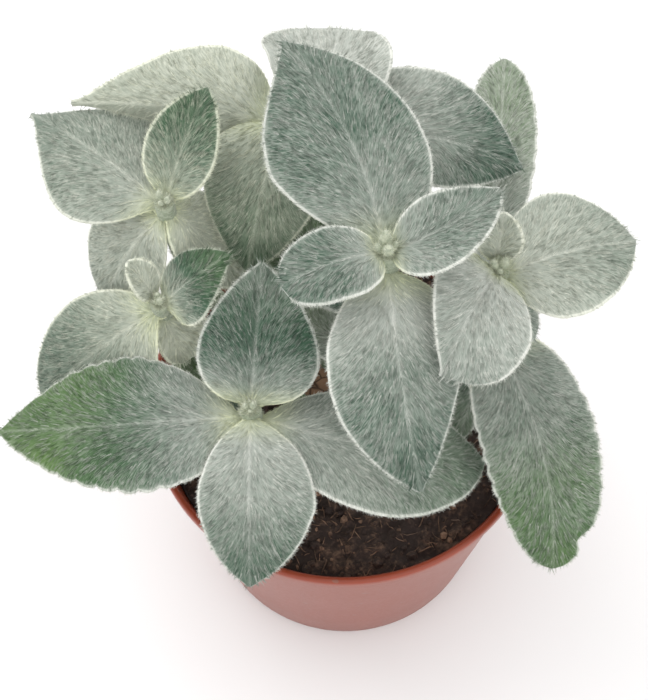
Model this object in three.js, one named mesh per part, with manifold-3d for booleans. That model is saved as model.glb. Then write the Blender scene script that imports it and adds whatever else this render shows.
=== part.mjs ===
// Potted Brazilian edelweiss: six woolly shoots rise from one tuber in a round nursery pot.
// Millimetres, +Z up. The origin is the middle of the pot's underside.

import * as THREE from "three";
import { mergeVertices } from "three/addons/utils/BufferGeometryUtils.js";
import Module from "manifold-3d";

const wasm = await Module();
wasm.setup();

// Clearance kept where two pieces touch
const SEAT_GAP = 0.3;

// Pot: a thin tapered wall under a rounded lip
const POT_HEIGHT = 90;
const RIM_RADIUS = 60;
const BASE_RADIUS = 46;
const POT_WALL = 1.6;
const POT_FLOOR = 2.4;
const LIP_WIDTH = 2.2;
const LIP_HEIGHT = 3.2;
const LIP_OVERHANG = 0.8;
const LIP_ROUND = 0.6;
const HEEL_ROUND = 1.5;
const POT_FACETS = 48;
const DRAIN_COUNT = 8;
const DRAIN_CIRCLE = 33;
const DRAIN_RADIUS = 4;

// Soil: slightly mounded round the tuber, with an uneven top
const SOIL_EDGE_HEIGHT = 79.5;
const SOIL_MOUND = 2.5;
const SOIL_BUMP = 0.6;
const SOIL_RINGS = 6;
const SOIL_FACETS = 40;

// Tuber: a squat brown caudex, more than half of it in the soil
const TUBER_CENTRE = [-3, 4, 75];
const TUBER_RADIUS = 17;
const TUBER_SQUASH = 0.7;
const TUBER_FACETS = 20;

// Stems and blades
const STEM_FACETS = 8;
const STEM_STEPS = 10;
const STEM_TOP = 2;
const BLADE_MIDDLE = 1.5;
const BLADE_MARGIN = 0.7;
const STALK_HALF_WIDTH = 2.2;
const TIP_HALF_WIDTH = 0.7;
const LARGE_BLADE = { rows: 10, columns: 6 };
const SMALL_BLADE = { rows: 7, columns: 4 };
const BUD_BLADE = { rows: 4, columns: 2 };
const SMALL_BLADE_LENGTH = 34;
const NOTCH_PLACE = 0.9;
const NOTCH_SPREAD = 0.04;
const WAVES = 1.3;

// A blade runs from its foot to its tip, both measured from the shoot's top node.
// width and left are twice the half-width to the right and left of the midrib, seen from the foot.
// wide and leftWide say how far along the widest point lies; shoulder and point shape foot and tip.
// arch lifts the middle and bow pushes it to the right. fold tilts each half up from the midrib and
// curl bends it on towards the margin, in degrees. roll and twist turn the blade on its midrib,
// hook drops its very tip, wave ripples the margins and notch is a nibble near the tip.
const BLADE = {
  foot: [0, 0, 0],
  arch: 4,
  bow: 0,
  hook: 0,
  roll: 0,
  twist: 0,
  fold: 5,
  curl: -10,
  stalk: 0.04,
  shoulder: 0.8,
  point: 0.85,
  wide: 0.5,
  notch: 0,
  wave: 0,
};

const SHOOTS = {
  front: {
    node: [-26.5, -24, 131],
    stem: [[-7, -5, 83.5], [-20, -14, 97], [-25.5, -22, 114]],
    stemRadius: 3,
    budHeading: 0,
    blades: {
      left: {
        foot: [0, 0, -3.8], tip: [-70.5, -0.2, -9], width: 43, left: 38, arch: 6, bow: -3,
        wide: 0.48, leftWide: 0.4, shoulder: 0.7, point: 0.9, fold: 4, leftFold: -2, curl: -14,
      },
      right: {
        foot: [0, 0, -4], tip: [65.5, -6, -26], width: 38, left: 36, arch: 6, bow: 5,
        shoulder: 0.6, point: 0.75, fold: 4, curl: -12,
      },
      back: {
        tip: [4.5, 34.5, 21], width: 36, left: 31, arch: 0, wide: 0.34, shoulder: 0.45, curl: 10,
      },
      fore: {
        foot: [0, 0, -0.6], tip: [-1.3, -43.5, -19], width: 27, left: 35, arch: 6, wide: 0.48,
        shoulder: 0.65, point: 0.8, fold: 4, curl: -14,
      },
      low: {
        foot: [2, 3, -23], tip: [-23, 29, -23], width: 16, left: 18, arch: 3, shoulder: 0.7,
        point: 0.5, fold: 0, curl: -4,
      },
    },
  },
  middle: {
    node: [11, 0, 172],
    stem: [[0, 3, 84], [7, 1, 104], [10, 0, 138]],
    stemRadius: 3.4,
    budHeading: 100,
    blades: {
      back: {
        foot: [0, 0, -3], tip: [-25.8, 61, 11], width: 38, left: 46, arch: 4, bow: 4, wide: 0.4,
        leftWide: 0.45, shoulder: 0.6, point: 0.95, leftPoint: 1.1, fold: 4, curl: -8,
      },
      right: {
        tip: [29, 9, 14], width: 25, left: 20, arch: 1, bow: 2.5, wide: 0.42, shoulder: 0.65,
        point: 0.8, fold: 10, curl: 5,
      },
      fore: {
        foot: [0, 0, -4.5], tip: [6.7, -55.1, -27], width: 37, left: 37, arch: 4, bow: 1,
        wide: 0.45, leftWide: 0.34, shoulder: 0.48, fold: 2, leftFold: -18,
      },
      left: {
        foot: [-0.6, -0.2, 0], tip: [-27.3, -9, 0], width: 20, left: 24, arch: 3, wide: 0.48,
        shoulder: 0.65, point: 0.45, fold: 8, curl: 0,
      },
      low_back: {
        foot: [-1.5, 0.5, -36], tip: [-35, 33, -38], width: 42, left: 18, arch: 3, shoulder: 0.7,
        point: 0.6, fold: 0, curl: -8,
      },
      low_left: {
        foot: [-3, 1, -60], tip: [-29, 16, -58], width: 16, arch: 2, shoulder: 0.7, point: 0.6,
        fold: 0, curl: -4,
      },
    },
  },
  left_back: {
    node: [-48.5, 27, 157],
    stem: [[-11, 9, 83], [-28, 18, 98], [-44, 25, 126]],
    stemRadius: 2.9,
    budHeading: 150,
    blades: {
      left: {
        foot: [0, 0, -2], tip: [-38.3, 31, 1], width: 46, left: 38, arch: 4, wide: 0.45,
        leftWide: 0.38, point: 1.4, leftPoint: 1.3, fold: -12, leftFold: -6,
      },
      back: {
        foot: [0.5, 1, 0], tip: [13.2, 24.7, 19], width: 22, left: 21, arch: 2, wide: 0.42,
        shoulder: 0.55, point: 0.8, fold: 10, curl: 8,
      },
      fore: {
        foot: [0, 0, -3], tip: [-19.5, -13, -33], width: 32, left: 25, arch: 5, point: 0.7,
        leftFold: -15, curl: -12,
      },
      right: {
        foot: [0, 0, -1.6], tip: [20, -6, -33], width: 21.5, left: 31, arch: 2, wide: 0.42,
        shoulder: 0.6, point: 0.8, fold: -5, curl: -12,
      },
    },
  },
  left: {
    node: [-50.8, 4, 142],
    stem: [[-13, 1, 83], [-30, 7, 95], [-46, 9, 117]],
    stemRadius: 2.8,
    budHeading: -70,
    blades: {
      fore: {
        foot: [0, 0, -2], tip: [-38, -9.8, -36], width: 31, left: 35, arch: 2.5, wide: 0.46,
        shoulder: 0.62, point: 0.7, fold: 2, curl: -12, roll: -30,
      },
      right: {
        foot: [0.8, -0.4, 0.2], tip: [20.5, 8.9, 10.5], width: 22, left: 20, arch: 2, wide: 0.25,
        leftWide: 0.36, shoulder: 0.42, point: 0.95, leftPoint: 0.8, fold: -4, curl: -8,
      },
      back: {
        foot: [-2, 2.6, -0.5], tip: [-7.8, 6.7, 12], width: 10, arch: 1, wide: 0.5, point: 0.6,
        fold: 15, curl: 5,
      },
      small: {
        foot: [0, 0, -6], tip: [4.5, -7, -21], width: 10, left: 22, arch: 1, shoulder: 0.5,
        point: 0.6, fold: 10, curl: 0,
      },
    },
  },
  right: {
    node: [41, 0.8, 160],
    stem: [[7.5, 5, 84], [24, 3, 95.5], [38, 3, 112], [41, 3, 124]],
    stemRadius: 3,
    budHeading: 0,
    blades: {
      right: {
        foot: [0, 0, -3.5], tip: [36.2, 5.8, 3], width: 37, left: 39, arch: 4, wide: 0.46,
        shoulder: 0.6, point: 0.72, fold: 2,
      },
      back: {
        foot: [-0.2, 3, 0], tip: [0.9, 8.6, 15], width: 12, arch: 1, point: 0.6, fold: 10,
        curl: 5,
      },
      fore: {
        tip: [-16.8, -29.7, -2], width: 27, left: 34, arch: 7, wide: 0.25, leftWide: 0.6,
        shoulder: 0.4, point: 1.1, leftPoint: 0.35, fold: 25, leftFold: -6,
      },
      small: {
        foot: [0, 0, -6], tip: [9.9, -11.1, -18], width: 11, arch: 2, point: 0.6, fold: 0,
        curl: -8,
      },
      old_fore: {
        foot: [0, 2.2, -36], tip: [16, -60.3, -63], width: 33, left: 34, arch: 6, bow: -4.5,
        wide: 0.46, shoulder: 0.55, point: 0.5, fold: 4, curl: -8, notch: 0.3,
      },
      old_back: {
        foot: [0, 2.2, -33], tip: [9, 78.7, -10], width: 21, left: 21, arch: 2, wide: 0.66,
        shoulder: 0.9, point: 0.6, fold: 4, curl: -6,
      },
      old_left: {
        foot: [0, 2.2, -38], tip: [-7.5, -20.6, -60], width: 13, left: 9, arch: 3, point: 0.6,
        fold: 0, curl: -8,
      },
    },
  },
  back: {
    node: [-15, 52, 162],
    stem: [[-3, 13, 82.5], [-8, 22, 97], [-13, 42, 126]],
    stemRadius: 3,
    budHeading: 150,
    blades: {
      left: {
        foot: [-0.5, 0, -4.2], tip: [-60.3, 8.7, -2.5], width: 36, left: 19, arch: 4, wide: 0.3,
        leftWide: 0.22, point: 1.25, leftPoint: 1.1, fold: -5, leftFold: -35, curl: -8, roll: -35,
        wave: 1.5,
      },
      back: {
        tip: [16, 23, 9], width: 36, left: 42, arch: 2, bow: 4, wide: 0.62, point: 0.4, curl: 0,
        wave: 2,
      },
      right: {
        foot: [0.5, 0, -2.5], tip: [66.6, -11.5, -10], width: 26, left: 40, arch: 5, wide: 0.6,
        leftWide: 0.52, point: 0.8, leftPoint: 1, fold: -10, leftFold: 0, roll: 20, hook: 2,
      },
      fore: {
        tip: [-11.5, -37, -22], width: 40, left: 32, arch: 6, wide: 0.33, shoulder: 0.42,
        point: 0.75, fold: -8, curl: -12,
      },
    },
  },
};

// Each shoot ends in a bud: two tiny leaves that have not opened yet
const BUD_LEAF = { width: 4.2, arch: -1, shoulder: 0.6, point: 0.6, fold: 25, curl: 20 };
const BUD_HEIGHT = 7;
const BUD_SPREAD = 2.5;

const COLOURS = {
  pot: 0xc4745c,
  soil: 0x3a2c26,
  tuber: 0x6b4a34,
  stem: 0x9aa384,
  bud: 0xd6dcb8,
  blade: 0xa9b8a8,
  old_blade: 0x7f9672,
};

const radians = THREE.MathUtils.degToRad;
const clamp = THREE.MathUtils.clamp;

// A closed geometry becomes a solid that can be cut or joined
function solidOf(geometry) {
  const bare = geometry.clone();
  bare.deleteAttribute("normal");
  bare.deleteAttribute("uv");
  const merged = mergeVertices(bare, 1e-4);
  return new wasm.Manifold(
    new wasm.Mesh({
      numProp: 3,
      vertProperties: new Float32Array(merged.attributes.position.array),
      triVerts: new Uint32Array(merged.index.array),
    }),
  );
}

function geometryOf(solid) {
  const mesh = solid.getMesh();
  const geometry = new THREE.BufferGeometry();
  geometry.setAttribute("position", new THREE.BufferAttribute(mesh.vertProperties, 3));
  geometry.setIndex(new THREE.BufferAttribute(mesh.triVerts, 1));
  geometry.computeVertexNormals();
  return geometry;
}

// Cutting a blade free of its stem leaves crumbs on the far side, and the blade is the largest body
function largestBody(solid) {
  const bodies = solid.decompose();
  bodies.sort((a, b) => b.volume() - a.volume());
  return bodies[0];
}

function piece(name, geometry, slot, roughness) {
  const material = new THREE.MeshStandardMaterial({
    color: COLOURS[slot],
    roughness,
    metalness: 0,
  });
  const mesh = new THREE.Mesh(geometry, material);
  mesh.name = name;
  return mesh;
}

// Radius of the pot's outer wall at a height, without the lip
function wallRadius(height) {
  const top = RIM_RADIUS - LIP_OVERHANG;
  return BASE_RADIUS + ((top - BASE_RADIUS) * height) / POT_HEIGHT;
}

function makePot() {
  const lipFoot = POT_HEIGHT - LIP_HEIGHT;
  const lipInside = RIM_RADIUS - LIP_WIDTH;
  const profile = [
    [0, 0],
    [BASE_RADIUS - HEEL_ROUND, 0],
    [BASE_RADIUS - HEEL_ROUND * 0.3, HEEL_ROUND * 0.3],
    [wallRadius(HEEL_ROUND), HEEL_ROUND],
    [wallRadius(POT_HEIGHT / 2), POT_HEIGHT / 2],
    [wallRadius(lipFoot), lipFoot],
    [RIM_RADIUS, lipFoot + LIP_ROUND],
    [RIM_RADIUS, POT_HEIGHT - LIP_ROUND],
    [RIM_RADIUS - LIP_ROUND, POT_HEIGHT],
    [lipInside + LIP_ROUND, POT_HEIGHT],
    [lipInside, POT_HEIGHT - LIP_ROUND],
    [wallRadius(lipFoot) - POT_WALL, lipFoot],
    [wallRadius(POT_HEIGHT / 2) - POT_WALL, POT_HEIGHT / 2],
    [wallRadius(POT_FLOOR) - POT_WALL, POT_FLOOR],
    [0, POT_FLOOR],
  ].map(([r, z]) => new THREE.Vector2(r, z));
  const turned = new THREE.LatheGeometry(profile, POT_FACETS).rotateX(Math.PI / 2);
  let pot = solidOf(turned);
  for (let i = 0; i < DRAIN_COUNT; i++) {
    const angle = (2 * Math.PI * (i + 0.5)) / DRAIN_COUNT;
    const drill = new THREE.CylinderGeometry(DRAIN_RADIUS, DRAIN_RADIUS, 4 * POT_FLOOR, 12);
    drill.rotateX(Math.PI / 2);
    drill.translate(DRAIN_CIRCLE * Math.cos(angle), DRAIN_CIRCLE * Math.sin(angle), 0);
    pot = pot.subtract(solidOf(drill));
  }
  return geometryOf(pot);
}

function tuberSolid(gap) {
  const ball = new THREE.SphereGeometry(TUBER_RADIUS + gap, TUBER_FACETS, TUBER_FACETS / 2);
  ball.rotateX(Math.PI / 2);
  ball.scale(1, 1, TUBER_SQUASH + gap / TUBER_RADIUS);
  ball.translate(...TUBER_CENTRE);
  return solidOf(ball);
}

// Height of the soil's top: a low mound with shallow bumps
function soilHeight(x, y) {
  const edge = wallRadius(SOIL_EDGE_HEIGHT);
  const out = Math.hypot(x, y) / edge;
  const mound = SOIL_MOUND * (1 - out * out);
  const bump = Math.sin(x * 0.31 + y * 0.13) * Math.cos(y * 0.27 - x * 0.11);
  return SOIL_EDGE_HEIGHT + mound + SOIL_BUMP * bump * (1 - out ** 6);
}

function makeSoil() {
  const foot = POT_FLOOR + SEAT_GAP;
  const inset = POT_WALL + SEAT_GAP;
  const topRadius = wallRadius(SOIL_EDGE_HEIGHT) - inset;
  const profile = [
    new THREE.Vector2(0, foot),
    new THREE.Vector2(wallRadius(foot) - inset, foot),
    new THREE.Vector2(wallRadius(POT_HEIGHT / 2) - inset, POT_HEIGHT / 2),
  ];
  for (let i = 0; i <= SOIL_RINGS; i++) {
    profile.push(new THREE.Vector2(topRadius * (1 - i / SOIL_RINGS), SOIL_EDGE_HEIGHT));
  }
  const turned = new THREE.LatheGeometry(profile, SOIL_FACETS).rotateX(Math.PI / 2);
  const position = turned.attributes.position;
  for (let i = 0; i < position.count; i++) {
    if (position.getZ(i) > POT_HEIGHT / 2 + 1) {
      position.setZ(i, soilHeight(position.getX(i), position.getY(i)));
    }
  }
  return geometryOf(solidOf(turned).subtract(tuberSolid(SEAT_GAP)));
}

// Half-width of a blade at the fraction t of its length, as a share of the widest half
function bladeProfile(t, wide, shoulder, point) {
  const peak = shoulder / (shoulder + point);
  const bent = t ** (Math.log(peak) / Math.log(wide));
  return (bent / peak) ** shoulder * (Math.max(1 - bent, 0) / (1 - peak)) ** point;
}

// One value of a blade for its right half or, where it has one, its own value for the left half
function sideValue(blade, key, isLeft) {
  const own = "left" + key[0].toUpperCase() + key.slice(1);
  return isLeft && own in blade ? blade[own] : blade[key];
}

// Points of the blade's middle surface and the direction of its thickness, row by row
function bladeRows(blade, rows, columns) {
  const foot = new THREE.Vector3(...blade.foot);
  const tip = new THREE.Vector3(...blade.tip);
  const chord = tip.clone().sub(foot).normalize();
  const right = chord.clone().cross(new THREE.Vector3(0, 0, 1)).normalize();
  const lift = right.clone().cross(chord);
  const middle = foot.clone().add(tip).multiplyScalar(0.5);
  middle.addScaledVector(lift, 2 * blade.arch).addScaledVector(right, 2 * blade.bow);
  const midrib = new THREE.QuadraticBezierCurve3(foot, middle, tip);
  const result = [];
  for (let i = 0; i <= rows; i++) {
    const u = i / rows;
    const centre = midrib.getPoint(u);
    const hooked = clamp((u - 0.8) / 0.2, 0, 1);
    centre.addScaledVector(lift, -blade.hook * hooked * hooked);
    const along = midrib.getTangent(u);
    const flat = along.clone().cross(lift).normalize();
    const turn = radians(blade.roll + blade.twist * u) * clamp(u / 0.2, 0, 1);
    const across = flat.clone().applyAxisAngle(along, turn);
    const normal = across.clone().cross(along).normalize();
    const t = clamp((u - blade.stalk) / (1 - blade.stalk), 0, 1);
    const points = [];
    for (let j = 0; j <= columns; j++) {
      const v = (2 * j) / columns - 1;
      const isLeft = v < 0;
      const a = Math.abs(v);
      const share = bladeProfile(
        t,
        sideValue(blade, "wide", isLeft),
        blade.shoulder,
        sideValue(blade, "point", isLeft),
      );
      let half = (share * (isLeft ? blade.left : blade.width)) / 2;
      if (blade.notch && isLeft) {
        half *= 1 - blade.notch * a * Math.exp(-(((u - NOTCH_PLACE) / NOTCH_SPREAD) ** 2));
      }
      const least = u < 0.5 ? STALK_HALF_WIDTH * Math.sqrt(1 - u) : TIP_HALF_WIDTH;
      half = Math.max(half, least);
      const fold = radians(sideValue(blade, "fold", isLeft));
      const curl = radians(blade.curl) || 1e-4;
      const out = (Math.sin(fold + curl * a) - Math.sin(fold)) / curl;
      const up = (Math.cos(fold) - Math.cos(fold + curl * a)) / curl;
      const ripple = Math.sin(2 * Math.PI * (WAVES * u + (isLeft ? 0 : 0.25)));
      points.push({
        position: centre
          .clone()
          .addScaledVector(across, Math.sign(v) * out * half)
          .addScaledVector(normal, up * half + blade.wave * ripple * a * a * Math.min(share, 1)),
        thickness: BLADE_MARGIN + (BLADE_MIDDLE - BLADE_MARGIN) * (1 - a * a),
      });
    }
    result.push({ normal, points });
  }
  return result;
}

// A closed slab between the blade's upper and lower felt
function bladeGeometry(blade, { rows, columns }) {
  const position = [];
  const index = [];
  const grid = bladeRows(blade, rows, columns);
  for (const side of [0.5, -0.5]) {
    for (const { normal, points } of grid) {
      for (const { position: p, thickness } of points) {
        position.push(...p.clone().addScaledVector(normal, side * thickness).toArray());
      }
    }
  }
  const layer = (rows + 1) * (columns + 1);
  const at = (i, j, lower) => i * (columns + 1) + j + (lower ? layer : 0);
  const quad = (a, b, c, d) => index.push(a, b, c, a, c, d);
  for (let i = 0; i < rows; i++) {
    for (let j = 0; j < columns; j++) {
      quad(at(i, j), at(i, j + 1), at(i + 1, j + 1), at(i + 1, j));
      quad(at(i, j, 1), at(i + 1, j, 1), at(i + 1, j + 1, 1), at(i, j + 1, 1));
    }
    quad(at(i, 0, 1), at(i, 0), at(i + 1, 0), at(i + 1, 0, 1));
    quad(at(i, columns), at(i, columns, 1), at(i + 1, columns, 1), at(i + 1, columns));
  }
  for (let j = 0; j < columns; j++) {
    quad(at(0, j), at(0, j, 1), at(0, j + 1, 1), at(0, j + 1));
    quad(at(rows, j, 1), at(rows, j), at(rows, j + 1), at(rows, j + 1, 1));
  }
  const geometry = new THREE.BufferGeometry();
  geometry.setAttribute("position", new THREE.Float32BufferAttribute(position, 3));
  geometry.setIndex(index);
  return geometry;
}

// A stem is a round tube along a curve through its points, in the frame of the shoot's node
function stemSolid(shoot, gap) {
  const node = new THREE.Vector3(...shoot.node);
  const points = shoot.stem.map((p) => new THREE.Vector3(...p).sub(node));
  points.push(new THREE.Vector3(0, 0, 0), new THREE.Vector3(0, 0, STEM_TOP + gap));
  const path = new THREE.CatmullRomCurve3(points, false, "centripetal");
  const section = new THREE.Shape();
  section.absarc(0, 0, shoot.stemRadius + gap, 0, 2 * Math.PI, false);
  const tube = new THREE.ExtrudeGeometry(section, {
    steps: STEM_STEPS,
    curveSegments: STEM_FACETS / 2,
    bevelEnabled: false,
    extrudePath: path,
  });
  return solidOf(tube);
}

function makeBud(shoot, clearOfStem) {
  const seat = STEM_TOP + SEAT_GAP;
  let bud = null;
  for (const side of [1, -1]) {
    const leaf = bladeGeometry(
      {
        ...BLADE,
        ...BUD_LEAF,
        left: BUD_LEAF.width,
        foot: [0, 0, seat],
        tip: [side * BUD_SPREAD, 0, seat + BUD_HEIGHT],
      },
      BUD_BLADE,
    );
    const solid = solidOf(leaf);
    bud = bud ? bud.add(solid) : solid;
  }
  const core = new THREE.CylinderGeometry(1.2, shoot.stemRadius * 0.6, 3, STEM_FACETS);
  core.rotateX(Math.PI / 2).translate(0, 0, seat + 1.5);
  const whole = bud.add(solidOf(core)).rotate([0, 0, shoot.budHeading]);
  return largestBody(whole.subtract(clearOfStem));
}

function makeShoot(name, shoot) {
  const group = new THREE.Group();
  group.name = name + "_shoot";
  group.position.set(...shoot.node);
  const tuberHere = tuberSolid(SEAT_GAP).translate(shoot.node.map((value) => -value));
  const stem = largestBody(stemSolid(shoot, 0).subtract(tuberHere));
  group.add(piece("stem_" + name, geometryOf(stem), "stem", 0.9));
  const clearOfStem = stemSolid(shoot, SEAT_GAP);
  const bud = makeBud(shoot, clearOfStem);
  group.add(piece("bud_" + name, geometryOf(bud), "bud", 0.95));
  for (const [bladeName, own] of Object.entries(shoot.blades)) {
    const blade = { ...BLADE, left: own.width, ...own };
    const length = new THREE.Vector3(...blade.tip).distanceTo(new THREE.Vector3(...blade.foot));
    const detail = length < SMALL_BLADE_LENGTH ? SMALL_BLADE : LARGE_BLADE;
    const solid = largestBody(solidOf(bladeGeometry(blade, detail)).subtract(clearOfStem));
    const slot = bladeName.startsWith("old") ? "old_blade" : "blade";
    group.add(piece("leaf_" + name + "_" + bladeName, geometryOf(solid), slot, 0.95));
  }
  return group;
}

const plant = new THREE.Group();
plant.name = "potted_brazilian_edelweiss";
plant.add(piece("pot", makePot(), "pot", 0.35));
plant.add(piece("soil", makeSoil(), "soil", 1));
plant.add(piece("tuber", geometryOf(tuberSolid(0)), "tuber", 0.9));
for (const [name, shoot] of Object.entries(SHOOTS)) {
  plant.add(makeShoot(name, shoot));
}

export default plant;
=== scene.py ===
"""Looks of a potted Brazilian edelweiss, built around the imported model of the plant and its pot.

The shape tables and the shape functions work in millimetres. Meshes, user settings and the frame are in
metres, +Z up, with the origin in the middle of the pot's underside. So are the depths of a finish's relief.
"""

import itertools
import math

import bpy
import numpy as np
from mathutils import Matrix, Vector


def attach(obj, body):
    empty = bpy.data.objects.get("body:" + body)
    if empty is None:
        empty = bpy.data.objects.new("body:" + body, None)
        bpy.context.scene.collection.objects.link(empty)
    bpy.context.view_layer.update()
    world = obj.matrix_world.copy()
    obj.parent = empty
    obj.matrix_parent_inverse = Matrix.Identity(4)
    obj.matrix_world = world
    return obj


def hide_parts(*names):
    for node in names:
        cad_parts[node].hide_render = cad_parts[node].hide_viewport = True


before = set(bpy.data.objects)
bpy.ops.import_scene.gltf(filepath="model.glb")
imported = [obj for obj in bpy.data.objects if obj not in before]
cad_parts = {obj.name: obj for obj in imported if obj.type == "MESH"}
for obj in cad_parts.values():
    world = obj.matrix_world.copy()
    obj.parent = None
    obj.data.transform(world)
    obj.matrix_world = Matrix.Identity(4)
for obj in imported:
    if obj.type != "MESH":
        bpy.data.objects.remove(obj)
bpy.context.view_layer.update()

bl_info = {
    "name": "Potted Brazilian edelweiss",
    "version": (1, 0, 0),
    "blender": (4, 5, 0),
    "location": "3D View > Sidebar > Edelweiss",
    "description": "Builds a woolly potted Brazilian edelweiss piece by piece",
    "category": "Object",
}

MM = 0.001

# Pot, soil and tuber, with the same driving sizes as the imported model
POT_HEIGHT = 90
RIM_RADIUS = 60
BASE_RADIUS = 46
POT_WALL = 1.6
POT_FLOOR = 2.4
LIP_WIDTH = 2.2
LIP_HEIGHT = 3.2
LIP_OVERHANG = 0.8
DRAIN_COUNT = 8
DRAIN_CIRCLE = 33
DRAIN_RADIUS = 4
SEAT_GAP = 0.3
SOIL_EDGE_HEIGHT = 79.5
SOIL_MOUND = 2.5
SOIL_BUMP = 0.6
TUBER_CENTRE = (-3, 4, 75)
TUBER_RADIUS = 17
TUBER_SQUASH = 0.7

# Leaf blades
BLADE_MIDDLE = 1.5
BLADE_MARGIN = 0.7
MARGIN_ROUND = 0.35
STALK_HALF_WIDTH = 2.2
TIP_HALF_WIDTH = 0.7
NOTCH_PLACE = 0.9
NOTCH_SPREAD = 0.04
WAVES = 1.3
STEM_TOP = 2

# Seeds of the random draws: each piece has its own, a step on from the one before
LEAF_SEED = 100
STEM_SEED = 2000
BUD_SEED = 3000
SEED_STEP = 20

# The camera stands above the front edge and looks down on the plant
PHOTO_WIDTH_PX = 648
PHOTO_HEIGHT_PX = 700
FOCAL_PX = 1500
RIM_CENTRE_PX = (344.5, 396)
CAMERA_ELEVATION = 61.8
CAMERA_ROLL = -1.65
CAMERA_DISTANCE = 0.4585
SENSOR = 36

BLADE = {
    "foot": (0, 0, 0),
    "arch": 4,
    "bow": 0,
    "hook": 0,
    "roll": 0,
    "fold": 5,
    "curl": -10,
    "stalk": 0.04,
    "shoulder": 0.8,
    "point": 0.85,
    "wide": 0.5,
    "notch": 0,
    "wave": 0,
    "teeth": 0,
    "wool": (0.7, 0.4, 0.35),
    "green": 0,
    "cream": 0,
}


def leaf(**own):
    """A leaf's values: its own, and the usual ones for the rest.

    foot and tip are measured from the shoot's node. width and left are twice the half-width to the right
    and left of the midrib. In mm, arch lifts the middle of the midrib, bow bends it sideways, hook drops
    its tip and wave is the height of the ripples in the margin. In degrees, roll turns the blade about the
    midrib, fold lifts the two halves and curl bends them on towards the margin.

    stalk is the stalk's share of the length and wide the place of the widest part along the rest. shoulder
    and point say how fast the outline swells from the foot and closes at the tip. notch and teeth are the
    depths of the nibble and of the scallops, as shares of the half-width. A name that starts with left
    holds for the left half alone.

    wool is how white the felt is at the foot, the middle and the tip, green how much of the green skin
    shows through towards the tip, and cream how yellow the wool is. The wool is partly the leaf's own and
    partly painted light and shade: leaves that lie in shade under others are given whiter felt, and leaves
    in full light darker felt.
    """
    return {**BLADE, "left": own["width"], **own}


# The wool in this table is partly painted light and shade: leaves in shade under others are whiter, and
# top-lit leaves darker, than their own felt.
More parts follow.
